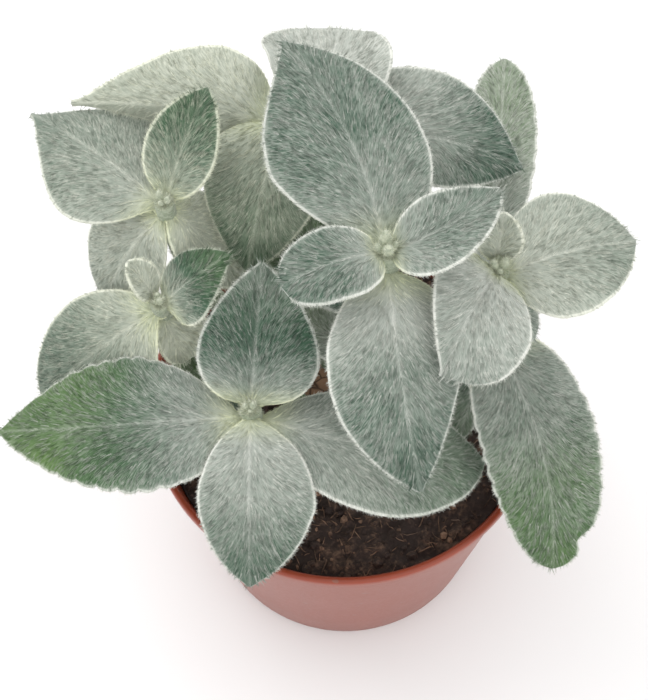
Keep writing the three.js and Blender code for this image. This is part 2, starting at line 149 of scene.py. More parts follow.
SHOOTS = {
    "front": {
        "node": (-26.5, -24, 131),
        "stem": ((-7, -5, 83.5), (-20, -14, 97), (-25.5, -22, 114)),
        "radius": 3,
        "bud_size": 0.6,
        "bud_heading": 0,
        "leaves": {
            "left": leaf(
                foot=(0, 0, -3.8), tip=(-70.5, -0.2, -9), width=43, left=38, arch=6, bow=-3, wide=0.48,
                leftWide=0.4, shoulder=0.7, point=0.9, fold=4, leftFold=-2, curl=-14, teeth=0.06,
                wool=(0.74, 0.14, 0.03), green=0.95,
            ),
            "right": leaf(
                foot=(0, 0, -4), tip=(65.5, -6, -26), width=38, left=36, arch=6, bow=5, shoulder=0.6,
                point=0.75, fold=4, curl=-12, wool=(0.72, 0.55, 0.2), green=0.3,
            ),
            "back": leaf(
                tip=(4.5, 34.5, 21), width=36, left=31, arch=0, wide=0.34, shoulder=0.45, curl=10,
                wool=(0.66, 0.05, 0.3), green=0.1,
            ),
            "fore": leaf(
                foot=(0, 0, -0.6), tip=(-1.3, -43.5, -19), width=27, left=35, arch=6, wide=0.48,
                shoulder=0.65, point=0.8, fold=4, curl=-14, wool=(0.82, 0.62, 0.1), green=0.05,
            ),
            "low": leaf(
                foot=(2, 3, -23), tip=(-23, 29, -23), width=16, left=18, arch=3, shoulder=0.7,
                point=0.5, fold=0, curl=-4, wool=(0.15, 0.08, 0.08), green=1,
            ),
        },
    },
    "middle": {
        "node": (11, 0, 172),
        "stem": ((0, 3, 84), (7, 1, 104), (10, 0, 138)),
        "radius": 3.4,
        "bud_size": 1.0,
        "bud_heading": 100,
        "leaves": {
            "back": leaf(
                foot=(0, 0, -3), tip=(-25.8, 61, 11), width=38, left=46, arch=4, bow=4, wide=0.4,
                leftWide=0.45, shoulder=0.6, point=0.95, leftPoint=1.1, fold=4, curl=-8,
                wool=(0.55, 0.26, 0.3),
            ),
            "right": leaf(
                tip=(29, 9, 14), width=25, left=20, arch=1, bow=2.5, wide=0.42, shoulder=0.65,
                point=0.8, fold=10, curl=5, wool=(0.65, 0.4, 0.35),
            ),
            "fore": leaf(
                foot=(0, 0, -4.5), tip=(6.7, -55.1, -27), width=37, left=37, arch=4, bow=1, wide=0.45,
                leftWide=0.34, shoulder=0.48, fold=2, leftFold=-18, wool=(1.0, 0.46, 0.18),
            ),
            "left": leaf(
                foot=(-0.6, -0.2, 0), tip=(-27.3, -9, 0), width=20, left=24, arch=3, wide=0.48,
                shoulder=0.65, point=0.45, fold=8, curl=0, wool=(0.75, 0.26, 0.25),
            ),
            "low_back": leaf(
                foot=(-1.5, 0.5, -36), tip=(-35, 33, -38), width=42, left=18, arch=3, shoulder=0.7,
                point=0.6, fold=0, curl=-8, wool=(0.3, 0.2, 0.2), green=0.9,
            ),
            "low_left": leaf(
                foot=(-3, 1, -60), tip=(-29, 16, -58), width=16, arch=2, shoulder=0.7, point=0.6,
                fold=0, curl=-4, wool=(0.7, 0.6, 0.6), green=0.9,
            ),
        },
    },
    "left_back": {
        "node": (-48.5, 27, 157),
        "stem": ((-11, 9, 83), (-28, 18, 98), (-44, 25, 126)),
        "radius": 2.9,
        "bud_size": 0.7,
        "bud_heading": 150,
        "leaves": {
            "left": leaf(
                foot=(0, 0, -2), tip=(-38.3, 31, 1), width=46, left=38, arch=4, wide=0.45,
                leftWide=0.38, point=1.4, leftPoint=1.3, fold=-12, leftFold=-6,
                wool=(0.8, 0.54, 0.42), cream=0.15,
            ),
            "back": leaf(
                foot=(0.5, 1, 0), tip=(13.2, 24.7, 19), width=22, left=21, arch=2, wide=0.42,
                shoulder=0.55, point=0.8, fold=10, curl=8, wool=(0.7, 0.27, 0.12), green=0.3,
                cream=0.45,
            ),
            "fore": leaf(
                foot=(0, 0, -3), tip=(-19.5, -13, -33), width=32, left=25, arch=5, point=0.7,
                leftFold=-15, curl=-12, wool=(1.0, 0.78, 0.62), cream=0.2,
            ),
            "right": leaf(
                foot=(0, 0, -1.6), tip=(20, -6, -33), width=21.5, left=31, arch=2, wide=0.42,
                shoulder=0.6, point=0.8, fold=-5, curl=-12, wool=(1.0, 1.0, 0.7), green=0.15, cream=0.35,
            ),
        },
    },
    "left": {
        "node": (-50.8, 4, 142),
        "stem": ((-13, 1, 83), (-30, 7, 95), (-46, 9, 117)),
        "radius": 2.8,
        "bud_size": 0.6,
        "bud_heading": -70,
        "leaves": {
            "fore": leaf(
                foot=(0, 0, -2), tip=(-38, -9.8, -36), width=31, left=35, arch=2.5, wide=0.46,
                shoulder=0.62, point=0.7, fold=2, curl=-12, roll=-30, wool=(1.0, 0.42, 0.28), cream=0.3,
            ),
            "right": leaf(
                foot=(0.8, -0.4, 0.2), tip=(20.5, 8.9, 10.5), width=22, left=20, arch=2, wide=0.25,
                leftWide=0.36, shoulder=0.42, point=0.95, leftPoint=0.8, fold=-4, curl=-8,
                wool=(0.7, 0.02, 0.02), green=0.45, cream=0.25,
            ),
            "back": leaf(
                foot=(-2, 2.6, -0.5), tip=(-7.8, 6.7, 12), width=10, arch=1, wide=0.5, point=0.6, fold=15,
                curl=5, wool=(1.0, 0.95, 0.8), cream=0.3,
            ),
            "small": leaf(
                foot=(0, 0, -6), tip=(4.5, -7, -21), width=10, left=22, arch=1, shoulder=0.5,
                point=0.6, fold=10, curl=0, wool=(1.0, 1.0, 0.9), green=0.1, cream=0.4,
            ),
        },
    },
    "right": {
        "node": (41, 0.8, 160),
        "stem": ((7.5, 5, 84), (24, 3, 95.5), (38, 3, 112), (41, 3, 124)),
        "radius": 3,
        "bud_size": 0.8,
        "bud_heading": 0,
        "leaves": {
            "right": leaf(
                foot=(0, 0, -3.5), tip=(36.2, 5.8, 3), width=37, left=39, arch=4, wide=0.46, shoulder=0.6,
                point=0.72, fold=2, wool=(0.95, 0.74, 0.56), cream=0.15,
            ),
            "back": leaf(
                foot=(-0.2, 3, 0), tip=(0.9, 8.6, 15), width=12, arch=1, point=0.6, fold=10, curl=5,
                wool=(0.95, 0.9, 0.8), cream=0.25,
            ),
            "fore": leaf(
                tip=(-16.8, -29.7, -2), width=27, left=34, arch=7, wide=0.25, leftWide=0.6,
                shoulder=0.4, point=1.1, leftPoint=0.35, fold=25, leftFold=-6, wool=(1.0, 0.8, 0.62),
            ),
            "small": leaf(
                foot=(0, 0, -6), tip=(9.9, -11.1, -18), width=11, arch=2, point=0.6, fold=0, curl=-8,
                wool=(0.75, 0.5, 0.4),
            ),
            "old_fore": leaf(
                foot=(0, 2.2, -36), tip=(16, -60.3, -63), width=33, left=34, arch=6, bow=-4.5,
                wide=0.46, shoulder=0.55, point=0.5, fold=4, curl=-8, notch=0.3, teeth=0.05,
                wool=(0.65, 0.4, 0.12), green=0.75,
            ),
            "old_back": leaf(
                foot=(0, 2.2, -33), tip=(9, 78.7, -10), width=21, left=21, arch=2, wide=0.66,
                shoulder=0.9, point=0.6, fold=4, curl=-6, teeth=0.05, wool=(0.85, 0.68, 0.5),
                green=0.8,
            ),
            "old_left": leaf(
                foot=(0, 2.2, -38), tip=(-7.5, -20.6, -60), width=13, left=9, arch=3, point=0.6,
                fold=0, curl=-8, wool=(0.5, 0.35, 0.3), green=0.3,
            ),
        },
    },
    "back": {
        "node": (-15, 52, 162),
        "stem": ((-3, 13, 82.5), (-8, 22, 97), (-13, 42, 126)),
        "radius": 3,
        "bud_size": 0.7,
        "bud_heading": 150,
        "leaves": {
            "left": leaf(
                foot=(-0.5, 0, -4.2), tip=(-60.3, 8.7, -2.5), width=36, left=19, arch=4, wide=0.3,
                leftWide=0.22, point=1.25, leftPoint=1.1, fold=-5, leftFold=-35, curl=-8, roll=-35,
                wave=1.5, wool=(1.0, 1.0, 0.9), green=0.1, cream=0.3,
            ),
            "back": leaf(
                tip=(16, 23, 9), width=36, left=42, arch=2, bow=4, wide=0.62, point=0.4, curl=0,
                wave=2, wool=(1.0, 1.0, 1.0),
            ),
            "right": leaf(
                foot=(0.5, 0, -2.5), tip=(66.6, -11.5, -10), width=26, left=40, arch=5, wide=0.6,
                leftWide=0.52, point=0.8, leftPoint=1, fold=-10, leftFold=0, roll=20, hook=2,
                wool=(0.75, 0.72, 0.12),
            ),
            "fore": leaf(
                tip=(-11.5, -37, -22), width=40, left=32, arch=6, wide=0.33, shoulder=0.42,
                point=0.75, fold=-8, curl=-12, wool=(1.0, 0.45, 0.25), green=0.3, cream=0.4,
            ),
        },
    },
}


def unit(vectors):
    """The vectors scaled to length one."""
    lengths = np.linalg.norm(vectors, axis=-1, keepdims=True)
    return vectors / np.maximum(lengths, 1e-12)


def ease(values, low, high):
    """A smooth step from 0 at low to 1 at high."""
    share = np.clip((values - low) / (high - low), 0, 1)
    return share * share * (3 - 2 * share)


HASH_PRIMES = np.array([73856093, 19349663, 83492791])
NOISE_TABLE = 4096


def lumps(points, cell, seed):
    """Smooth noise from -1 to 1 at each point, whose lumps are about one cell wide."""
    table = np.random.default_rng(seed).uniform(-1, 1, NOISE_TABLE)
    scaled = np.asarray(points, float) / cell
    base = np.floor(scaled).astype(np.int64)
    part = scaled - base
    weight = part * part * (3 - 2 * part)
    total = np.zeros(scaled.shape[:-1])
    for corner in itertools.product((0, 1), repeat=scaled.shape[-1]):
        mixed = (base + corner) * HASH_PRIMES[: scaled.shape[-1]]
        key = np.bitwise_xor.reduce(mixed, axis=-1) % NOISE_TABLE
        share = np.prod(np.where(corner, weight, 1 - weight), axis=-1)
        total += share * table[key]
    return total


class Body:
    """Points and faces gathered for one mesh, in millimetres, with a tone for every point.

    A tone is three numbers: how woolly, how green and how creamy the felt is there, the woolliness being
    partly painted light and shade. strand is a random number for each hair or crumb, and nap is a place
    across and along the lie of the hairs. Marks are the distances in mm from the midrib and from the
    margin, and the place between side veins.
    """

    NO_MARKS = (50, 50, 0.5)

    def __init__(self):
        self.points = []
        self.count = 0
        self.corners = []
        self.sizes = []
        self.finishes = []
        self.smooth = []
        self.maps = []
        self.tones = []
        self.strands = []
        self.naps = []
        self.marks = []

    def add(self, points, faces, finish=0, smooth=True, uv=None, tone=None, strand=0.5, nap=None,
            marks=NO_MARKS):
        """Adds points (n, 3) and one or more arrays of faces that index them."""
        points = np.asarray(points, float).reshape(-1, 3)
        number = len(points)
        groups = faces if isinstance(faces, list) else [faces]
        maps = uv if isinstance(uv, list) else [uv] * len(groups)
        for group, uv_part in zip(groups, maps):
            group = np.asarray(group)
            self.corners.append((group + self.count).ravel())
            self.sizes.append(np.full(len(group), group.shape[1]))
            self.finishes.append(np.full(len(group), finish))
            self.smooth.append(np.full(len(group), smooth))
            if uv_part is not None:
                self.maps.append(np.asarray(uv_part, float).reshape(-1, 2))
        blank = np.zeros((number, 3))
        self.points.append(points)
        self.tones.append(blank if tone is None else np.broadcast_to(tone, (number, 3)))
        self.strands.append(np.broadcast_to(np.asarray(strand, float), (number,)))
        self.naps.append(blank if nap is None else nap)
        self.marks.append(np.broadcast_to(marks, (number, 3)))
        self.count += number

    def build(self, name, finishes):
        """Makes the mesh object, with its attributes and finishes."""
        mesh = bpy.data.meshes.new(name)
        points = np.concatenate(self.points) * MM
        corners = np.concatenate(self.corners)
        sizes = np.concatenate(self.sizes)
        mesh.vertices.add(len(points))
        mesh.vertices.foreach_set("co", points.astype(np.float32).ravel())
        mesh.loops.add(len(corners))
        mesh.loops.foreach_set("vertex_index", corners.astype(np.int32))
        mesh.polygons.add(len(sizes))
        starts = np.concatenate([[0], np.cumsum(sizes)[:-1]])
        mesh.polygons.foreach_set("loop_start", starts.astype(np.int32))
        mesh.polygons.foreach_set("material_index", np.concatenate(self.finishes).astype(np.int32))
        mesh.polygons.foreach_set("use_smooth", np.concatenate(self.smooth).astype(bool))
        if self.maps:
            layer = mesh.uv_layers.new(name="OFBake")
            layer.data.foreach_set("uv", np.concatenate(self.maps).astype(np.float32).ravel())
        for attribute, kind, field, parts in (
            ("tone", "FLOAT_VECTOR", "vector", self.tones),
            ("nap", "FLOAT_VECTOR", "vector", self.naps),
            ("marks", "FLOAT_VECTOR", "vector", self.marks),
            ("strand", "FLOAT", "value", self.strands),
        ):
            values = np.concatenate(parts).astype(np.float32).ravel()
            mesh.attributes.new(attribute, kind, "POINT").data.foreach_set(field, values)
        mesh.update(calc_edges=True)
        for finish in finishes:
            mesh.materials.append(finish)
        piece = bpy.data.objects.new(name, mesh)
        bpy.context.scene.collection.objects.link(piece)
        return piece


def place(piece, slot, *nodes):
    """The piece rides on the plant's one body in place of these nodes. slot is not used."""
    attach(piece, "root")
    if nodes:
        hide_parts(*nodes)


class Signal:
    """One output of a shader node. Arithmetic on it adds Math nodes."""

    def __init__(self, finish, socket):
        self.finish = finish
        self.socket = socket

    def __add__(self, other):
        return self.finish.maths("ADD", self, other)

    __radd__ = __add__

    def __sub__(self, other):
        return self.finish.maths("SUBTRACT", self, other)

    def __rsub__(self, other):
        return self.finish.maths("SUBTRACT", other, self)

    def __mul__(self, other):
        return self.finish.maths("MULTIPLY", self, other)

    __rmul__ = __mul__


class Finish:
    """A material under construction."""

    def __init__(self, name):
        self.material = bpy.data.materials.new(name)
        self.material.use_nodes = True
        self.tree = self.material.node_tree
        self.tree.nodes.clear()

    def node(self, kind, settings=None, inputs=None, output=0):
        """Adds a node: its settings first, then its sockets' values and links. Gives one output."""
        made = self.tree.nodes.new(kind)
        for key, value in (settings or {}).items():
            setattr(made, key, value)
        for key, value in (inputs or {}).items():
            if isinstance(value, Signal):
                self.tree.links.new(value.socket, made.inputs[key])
            else:
                made.inputs[key].default_value = value
        return Signal(self, made.outputs[output]) if len(made.outputs) else None

    def mix(self, first, second, share):
        """The first colour turning into the second."""
        colours = [c if isinstance(c, Signal) else (*c, 1) for c in (first, second)]
        inputs = {0: share, 6: colours[0], 7: colours[1]}
        return self.node("ShaderNodeMix", {"data_type": "RGBA"}, inputs, 2)

    def shade(self, colour, amount):
        """The colour darkened or lightened by an amount round 1."""
        settings = {"data_type": "RGBA", "blend_type": "MULTIPLY"}
        grey = self.node("ShaderNodeCombineColor", None, {0: amount, 1: amount, 2: amount})
        return self.node("ShaderNodeMix", settings, {0: 1.0, 6: colour, 7: grey}, 2)

    def step(self, value, low, high, first=0.0, last=1.0):
        """A smooth step of the value from low to high, as first to last."""
        inputs = {0: value, 1: low, 2: high, 3: first, 4: last}
        return self.node("ShaderNodeMapRange", {"interpolation_type": "SMOOTHSTEP"}, inputs)

    def maths(self, operation, first, second=0.0):
        """The answer of a Math node for one or two values."""
        return self.node("ShaderNodeMath", {"operation": operation}, {0: first, 1: second})

    def clear(self, value):
        """The value held between 0 and 1."""
        return self.node("ShaderNodeClamp", None, {0: value})

    def own(self, name, output=0):
        """A value that the mesh carries at every point."""
        return self.node("ShaderNodeAttribute", {"attribute_name": name}, None, output)

    def parts(self, vector):
        """The three parts of a vector."""
        first = self.node("ShaderNodeSeparateXYZ", None, {0: vector})
        return [Signal(self, socket) for socket in first.socket.node.outputs]

    def noise(self, place, scale, detail, roughness):
        """Cloudy noise from 0 to 1."""
        inputs = {"Vector": place, "Scale": scale, "Detail": detail, "Roughness": roughness}
        return self.node("ShaderNodeTexNoise", None, inputs)

    def place(self, scale=(1, 1, 1)):
        """The place on the object, in metres, stretched by the scale."""
        where = self.node("ShaderNodeTexCoord", None, None, "Object")
        inputs = {"Vector": where, "Scale": scale}
        return self.node("ShaderNodeMapping", None, inputs)

    def relief(self, height, strength, distance):
        """A surface normal bent by a height."""
        inputs = {"Strength": strength, "Distance": distance, "Height": height}
        return self.node("ShaderNodeBump", None, inputs)

    def surface(self, **sockets):
        """Ends the material in one shader with these sockets, spaces in their names written as _."""
        inputs = {key.replace("_", " "): value for key, value in sockets.items()}
        shader = self.node("ShaderNodeBsdfPrincipled", None, inputs)
        self.node("ShaderNodeOutputMaterial", None, {"Surface": shader})
        return self.material


def felt_colour(finish, settings, wool, green, cream):
    """The colour of felt: green skin seen between the hairs, up to white wool, creamy in the heart."""
    skin = finish.mix(settings.skin_colour, settings.green_colour, green)
    pale = finish.mix(settings.wool_colour, settings.cream_colour, cream)
    return finish.mix(skin, pale, wool)


# How far single strands, clumps of them and cloudy patches change the whiteness of the felt
STRAND_DARKER = -0.17
STRAND_PALER = 0.1
CLUMP_CHANGE = 0.18
PATCH_CHANGE = 0.12
FELT_RELIEF = 0.0003


def blade_finish(settings):
    """The blade under its hairs: short felt combed along the lie of the hairs, pale veins and margin."""
    finish = Finish("combed_leaf_felt")
    wool, green, cream = finish.parts(finish.own("tone", "Vector"))
    off_rib, off_margin, vein_place = finish.parts(finish.own("marks", "Vector"))
    nap = finish.own("nap", "Vector")
    strands = finish.noise(nap, scale=1.0, detail=3.0, roughness=0.6)
    clumps = finish.noise(nap, scale=0.27, detail=2.0, roughness=0.5)
    mottle = finish.noise(finish.place(), scale=160.0, detail=2.0, roughness=0.5)
    wander = (clumps - 0.5) * 0.5
    near_rib = finish.step(off_rib + wander, low=0.0, high=0.7, first=1.0, last=0.0)
    rib = near_rib * finish.step(strands, low=0.35, high=0.6)
    from_vein = finish.maths("ABSOLUTE", finish.maths("FRACT", vein_place) - 0.5)
    vein = finish.step(from_vein, low=0.44, high=0.5) * settings.vein_pale
    veined = rib * settings.rib_pale + vein * finish.step(off_margin, low=1.0, high=4.0)
    # Whiter band along the margin: partly the white fringe, partly painted light
    margin = finish.step(off_margin + wander, low=0.1, high=0.6, first=settings.margin_pale, last=0.0)
    combed = finish.step(strands, low=0.34, high=0.66, first=STRAND_DARKER, last=STRAND_PALER)
    uneven = combed + (clumps - 0.5) * CLUMP_CHANGE + (mottle - 0.5) * PATCH_CHANGE
    clear_wool = finish.clear(wool * settings.felt_follow + uneven + veined + margin)
    colour = felt_colour(finish, settings, clear_wool, green, cream)
    height = strands * 0.7 + clumps * 0.3
    return finish.surface(
        Base_Color=colour,
        Roughness=0.9 - strands * 0.12,
        Normal=finish.relief(height, 0.6, FELT_RELIEF),
        Sheen_Weight=0.25,
        Sheen_Roughness=0.5,
        Specular_IOR_Level=0.25,
    )


def hair_finish(settings):
    """Single hairs: silvery, paler than the felt below, each a little different."""
    finish = Finish("silvery_leaf_hairs")
    wool, green, cream = finish.parts(finish.own("tone", "Vector"))
    strand = finish.own("strand", "Fac")
    speckle = finish.noise(finish.place(), scale=900.0, detail=1.0, roughness=0.5)
    pale = wool * settings.hair_follow + settings.hair_pale
    pale = finish.clear(pale + (strand - 0.5) * settings.hair_variety + (speckle - 0.5) * 0.1)
    colour = felt_colour(finish, settings, pale, green * 0.9, cream)
    return finish.surface(
        Base_Color=colour,
        Roughness=0.62 + speckle * 0.16,
        Sheen_Weight=0.2,
        Sheen_Roughness=0.4,
        Specular_IOR_Level=0.35,
    )


def share_of_width(t, wide, shoulder, point):
    """Half-width of a blade at the fraction t of its length, as a share of the widest half."""
    peak = shoulder / (shoulder + point)
    bent = t ** (math.log(peak) / math.log(wide))
    return (bent / peak) ** shoulder * (np.maximum(1 - bent, 0) / (1 - peak)) ** point


def left_half(values, key):
    """A leaf's own value for its left half or, where it has none, the value for both halves."""
    return values.get("left" + key.capitalize(), values[key])


TEETH = 13
TEETH_START = 0.2
TEETH_FULL = 0.4
LEFT_TEETH_SHIFT = 0.4
TOOTH_ROUND = 0.6
EDGE_WANDER = 0.025
WANDERS = 9


def margin_shape(values, u, a, is_left, seed):
    """How the scallops, the nibble and a slight wander change the half-width."""
    beat = np.abs(np.sin(math.pi * (TEETH * u + np.where(is_left, LEFT_TEETH_SHIFT, 0))))
    toothed = ease(u, TEETH_START, TEETH_FULL) * a**3
    change = 1 - values["teeth"] * toothed * (1 - beat**TOOTH_ROUND)
    side_seed = np.where(is_left, 0.0, 50.0)
    where = np.stack([u * WANDERS + side_seed, np.full_like(u, 0.5)], axis=-1)
    change = change + EDGE_WANDER * a * lumps(where, 1.0, seed)
    if values["notch"]:
        nibble = np.exp(-(((u - NOTCH_PLACE) / NOTCH_SPREAD) ** 2))
        change = change * np.where(is_left, 1 - values["notch"] * a * nibble, 1)
    return change


def turned(vectors, axes, angles):
    """The vectors turned about unit axes that they are at right angles to."""
    cosine = np.cos(angles)[..., None]
    sine = np.sin(angles)[..., None]
    return vectors * cosine + np.cross(axes, vectors) * sine


HOOK_LENGTH = 0.2
ROLL_FULL = 0.2
WAVE_SHIFT = 0.25
FOOT_SINK = 1.6
SINK_END = 0.08


def blade_middle(values, node, rows, columns, seed):
    """The middle surface of a blade as a grid of places.

    u runs from 0 at the foot to 1 at the tip and v from -1 at the left margin to 1 at the right. a is the
    size of v, and half the half-width in mm.
    """
    foot = np.asarray(node, float) + values["foot"]
    tip = np.asarray(node, float) + values["tip"]
    chord = unit(tip - foot)
    right = unit(np.cross(chord, (0, 0, 1)))
    lift = np.cross(right, chord)
    middle = (foot + tip) / 2 + 2 * values["arch"] * lift + 2 * values["bow"] * right
    u_line = np.linspace(0, 1, rows + 1)
    v_line = np.linspace(-1, 1, columns + 1)
    u, v = np.meshgrid(u_line, v_line, indexing="ij")
    u_row = u_line[:, None]
    centre = (1 - u_row) ** 2 * foot + 2 * u_row * (1 - u_row) * middle + u_row**2 * tip
    hooked = np.clip((u_row - (1 - HOOK_LENGTH)) / HOOK_LENGTH, 0, 1)
    centre = centre - lift * values["hook"] * hooked**2
    along = unit(2 * (1 - u_row) * (middle - foot) + 2 * u_row * (tip - middle))
    flat = unit(np.cross(along, lift))
    turn = math.radians(values["roll"]) * np.clip(u_line / ROLL_FULL, 0, 1)
    across = turned(flat, along, turn)
    normal = unit(np.cross(across, along))
    t = np.clip((u - values["stalk"]) / (1 - values["stalk"]), 0, 1)
    is_left = v < 0
    a = np.abs(v)
    share = np.where(
        is_left,
        share_of_width(t, left_half(values, "wide"), values["shoulder"], left_half(values, "point")),
        share_of_width(t, values["wide"], values["shoulder"], values["point"]),
    )
    half = share * np.where(is_left, values["left"], values["width"]) / 2
    half = half * margin_shape(values, u, a, is_left, seed)
    half = np.maximum(half, np.where(u < 0.5, STALK_HALF_WIDTH * np.sqrt(1 - u), TIP_HALF_WIDTH))
    fold = np.radians(np.where(is_left, left_half(values, "fold"), values["fold"]))
    curl = math.radians(values["curl"]) or 1e-4
    out = (np.sin(fold + curl * a) - np.sin(fold)) / curl
    up = (np.cos(fold) - np.cos(fold + curl * a)) / curl
    ripple = np.sin(2 * math.pi * (WAVES * u + np.where(is_left, 0, WAVE_SHIFT)))
    raised = up * half + values["wave"] * ripple * a**2 * np.minimum(share, 1)
    raised = raised - FOOT_SINK * (1 - ease(u, 0, SINK_END))
    places = (
        centre[:, None, :]
        + across[:, None, :] * (np.sign(v) * out * half)[..., None]
        + normal[:, None, :] * raised[..., None]
    )
    length = float(np.linalg.norm(tip - foot))
    return {"places": places, "u": u, "v": v, "a": a, "half": half, "length": length}


VEIN_PAIRS = 6
VEIN_SLANT = 0.3
QUILT_DEPTH = 0.22
QUILT_LEVEL = 0.7
RIB_GROOVE = 0.4
RIB_HALF_WIDTH = 0.9
RIB_FADE = 0.4
RIB_BELOW = 1.2
UNDULATION = 0.35
UNDULATION_CELL = 11
# Half-widths in mm between which the groove and the slow waves fade in
GROOVED_FROM = (1, 8)
WAVY_FROM = (3, 12)


def vein_marks(grid):
    """Distances in mm from the midrib and from the margin, and the place between side veins."""
    off_rib = grid["a"] * grid["half"]
    between_veins = VEIN_PAIRS * (grid["u"] - VEIN_SLANT * grid["a"])
    return np.stack([off_rib, grid["half"] - off_rib, between_veins], axis=-1)


def blade_relief(grid, seed):
    """How far the blade's face stands up or sinks: a grooved midrib, quilting between veins, slow waves."""
    u, a, half = grid["u"], grid["a"], grid["half"]
    off_rib = a * half
    valley = np.exp(-((off_rib / RIB_HALF_WIDTH) ** 2))
    groove = -RIB_GROOVE * valley * (1 - u) ** RIB_FADE * ease(half, *GROOVED_FROM)
    beat = np.abs(np.sin(math.pi * VEIN_PAIRS * (u - VEIN_SLANT * a)))
    inside = ease(off_rib, 0.5, 4) * (1 - ease(a, 0.75, 1)) * (1 - ease(u, 0.8, 1))
    quilt = QUILT_DEPTH * (beat**0.5 - QUILT_LEVEL) * inside
    slow = UNDULATION * lumps(grid["places"], UNDULATION_CELL, seed) * ease(half, *WAVY_FROM)
    return groove, quilt + slow


def grid_normals(places):
    """Unit normals of a grid of points, and its unit directions forward and to the right."""
    forward = unit(np.gradient(places, axis=0))
    rightward = unit(np.gradient(places, axis=1))
    return unit(np.cross(rightward, forward)), forward, rightward


# Places along the leaf where the wool is given, and the stretches over which the heart and green fade
WOOL_PLACES = (0.05, 0.22, 0.5, 0.9)
HEART_WOOL_FADE = (0.03, 0.2)
HEART_CREAM_FADE = (0.02, 0.22)
GREEN_FADE = (0.25, 0.85)
# Extra whiteness at each leaf's foot: partly the heart's paler young wool, partly painted light where the
# crowded heart lies in shade
HEART_WOOL_AND_LIGHT = 0.3
HEART_CREAM = 0.9
RIB_WOOL = 0.16
RIB_WOOL_HALF_WIDTH = 0.8
MARGIN_WOOL_AND_LIGHT = 0.3
# Strength and size in mm of patches in the felt
BROAD_PATCHES = (0.09, 9)
SMALL_PATCHES = (0.05, 3)
GREEN_PATCHES = (0.3, 12)


def patches(places, kind, seed):
    """Soft patches in the felt, of one kind."""
    strength, cell = kind
    return strength * lumps(places, cell, seed)


def felt_tone(values, grid, seed):
    """How woolly, green and creamy the felt is over the blade; the woolliness is partly painted light and
    shade.
    """
    u, a, places = grid["u"], grid["a"], grid["places"]
    foot, middle, tip = values["wool"]
    wool = np.interp(u, WOOL_PLACES, (foot, foot * 0.7 + middle * 0.3, middle, tip))
    # painted light in the shaded heart, on top of its paler young wool
    wool = wool + HEART_WOOL_AND_LIGHT * (1 - ease(u, *HEART_WOOL_FADE))
    off_rib = a * grid["half"]
    wool = wool + RIB_WOOL * np.exp(-((off_rib / RIB_WOOL_HALF_WIDTH) ** 2)) * (1 - u)
    wool = wool + patches(places, BROAD_PATCHES, seed + 1) + patches(places, SMALL_PATCHES, seed + 2)
    # whiter band along the margin: partly the white fringe, partly painted light
    wool = wool + MARGIN_WOOL_AND_LIGHT * ease(off_rib - grid["half"], -1.2, -0.2) * ease(grid["half"], 1, 4)
    green = values["green"] * ease(u, *GREEN_FADE) * (0.85 + patches(places, GREEN_PATCHES, seed + 3))
    cream = values["cream"] + (HEART_CREAM - values["cream"]) * (1 - ease(u, *HEART_CREAM_FADE))
    return np.stack([np.clip(wool, 0, 1), np.clip(green, 0, 1), cream], axis=-1)


HAIR_ANGLE_RIB = 12
HAIR_ANGLE_MARGIN = 66
HAIR_ANGLE_BEND = 0.9
NAP_ACROSS = 2.3
NAP_ALONG = 0.34
NAP_STEPS = 400


def hair_angle(a):
    """Angle in degrees between the hairs and the midrib, from the midrib (a = 0) to the margin (a = 1)."""
    return HAIR_ANGLE_RIB + (HAIR_ANGLE_MARGIN - HAIR_ANGLE_RIB) * a**HAIR_ANGLE_BEND


def nap_places(grid):
    """Places across and along the lie of the hairs, so that noise on them looks combed.

    A streamline of the hairs keeps the same value of the first number: how far it has come along the
    leaf, less how far its slant has carried it.
    """
    u, a, half = grid["u"], grid["a"], grid["half"]
    widest = half.max()
    step = grid["length"] / (len(u) - 1)
    passed = np.cumsum(step / np.maximum(half, 0.35 * widest), axis=0)
    fine = np.linspace(0, 1, NAP_STEPS)
    slant = np.cumsum(1 / np.tan(np.radians(hair_angle(fine)))) / NAP_STEPS
    across = (passed - np.interp(a, fine, slant)) * widest * NAP_ACROSS
    along = (u * grid["length"] + a * half) * NAP_ALONG
    side = np.where(grid["v"] < 0, 0.0, 40.0)
    return np.stack([across, along, side], axis=-1)


def tube_faces(rings, around):
    """Quads of a tube of rings, each with this many points, facing out."""
    i, k = np.meshgrid(np.arange(rings - 1), np.arange(around), indexing="ij")
    i, k = i.ravel(), k.ravel()
    after = (k + 1) % around
    quads = [i * around + k, i * around + after, (i + 1) * around + after, (i + 1) * around + k]
    return np.stack(quads, axis=1), i, k


def cap_faces(columns, around, ring, is_tip):
    """The faces that close a blade's ring: quads from its upper to its lower side, and two triangles."""
    j = np.arange(columns)
    under = 2 * columns + 2
    quads = np.stack([j, under - j, under - j - 1, j + 1], axis=1)
    ends = np.array([[0, around - 1, around - 2], [columns + 2, columns + 1, columns]])
    if is_tip:
        quads, ends = quads[:, ::-1], ends[:, ::-1]
    return quads + ring * around, ends + ring * around


BLADE_MAP = (0.01, 0.50, 0.99, 0.985)
CAP_MAP = (0.005, 0.99, 0.995, 0.998)
HAIR_MAP = (0.01, 0.01, 0.99, 0.485)
CAP_SPAN = 0.45


def in_map(box, x, y):
    """Places from 0 to 1 put into a box of the texture map."""
    return np.stack([box[0] + x * (box[2] - box[0]), box[1] + y * (box[3] - box[1])], axis=-1)


def side_map(i, k, rows, around):
    """Map corners of a tube's quads, unrolled."""
    corners = [(i, k), (i, k + 1), (i + 1, k + 1), (i + 1, k)]
    return np.stack([in_map(BLADE_MAP, x / rows, y / around) for x, y in corners], axis=1)


def cap_map(spots):
    """Map corners of the faces that close a tube's end."""
    return np.stack([in_map(CAP_MAP, x, y + 0 * x) for x, y in spots], axis=1)


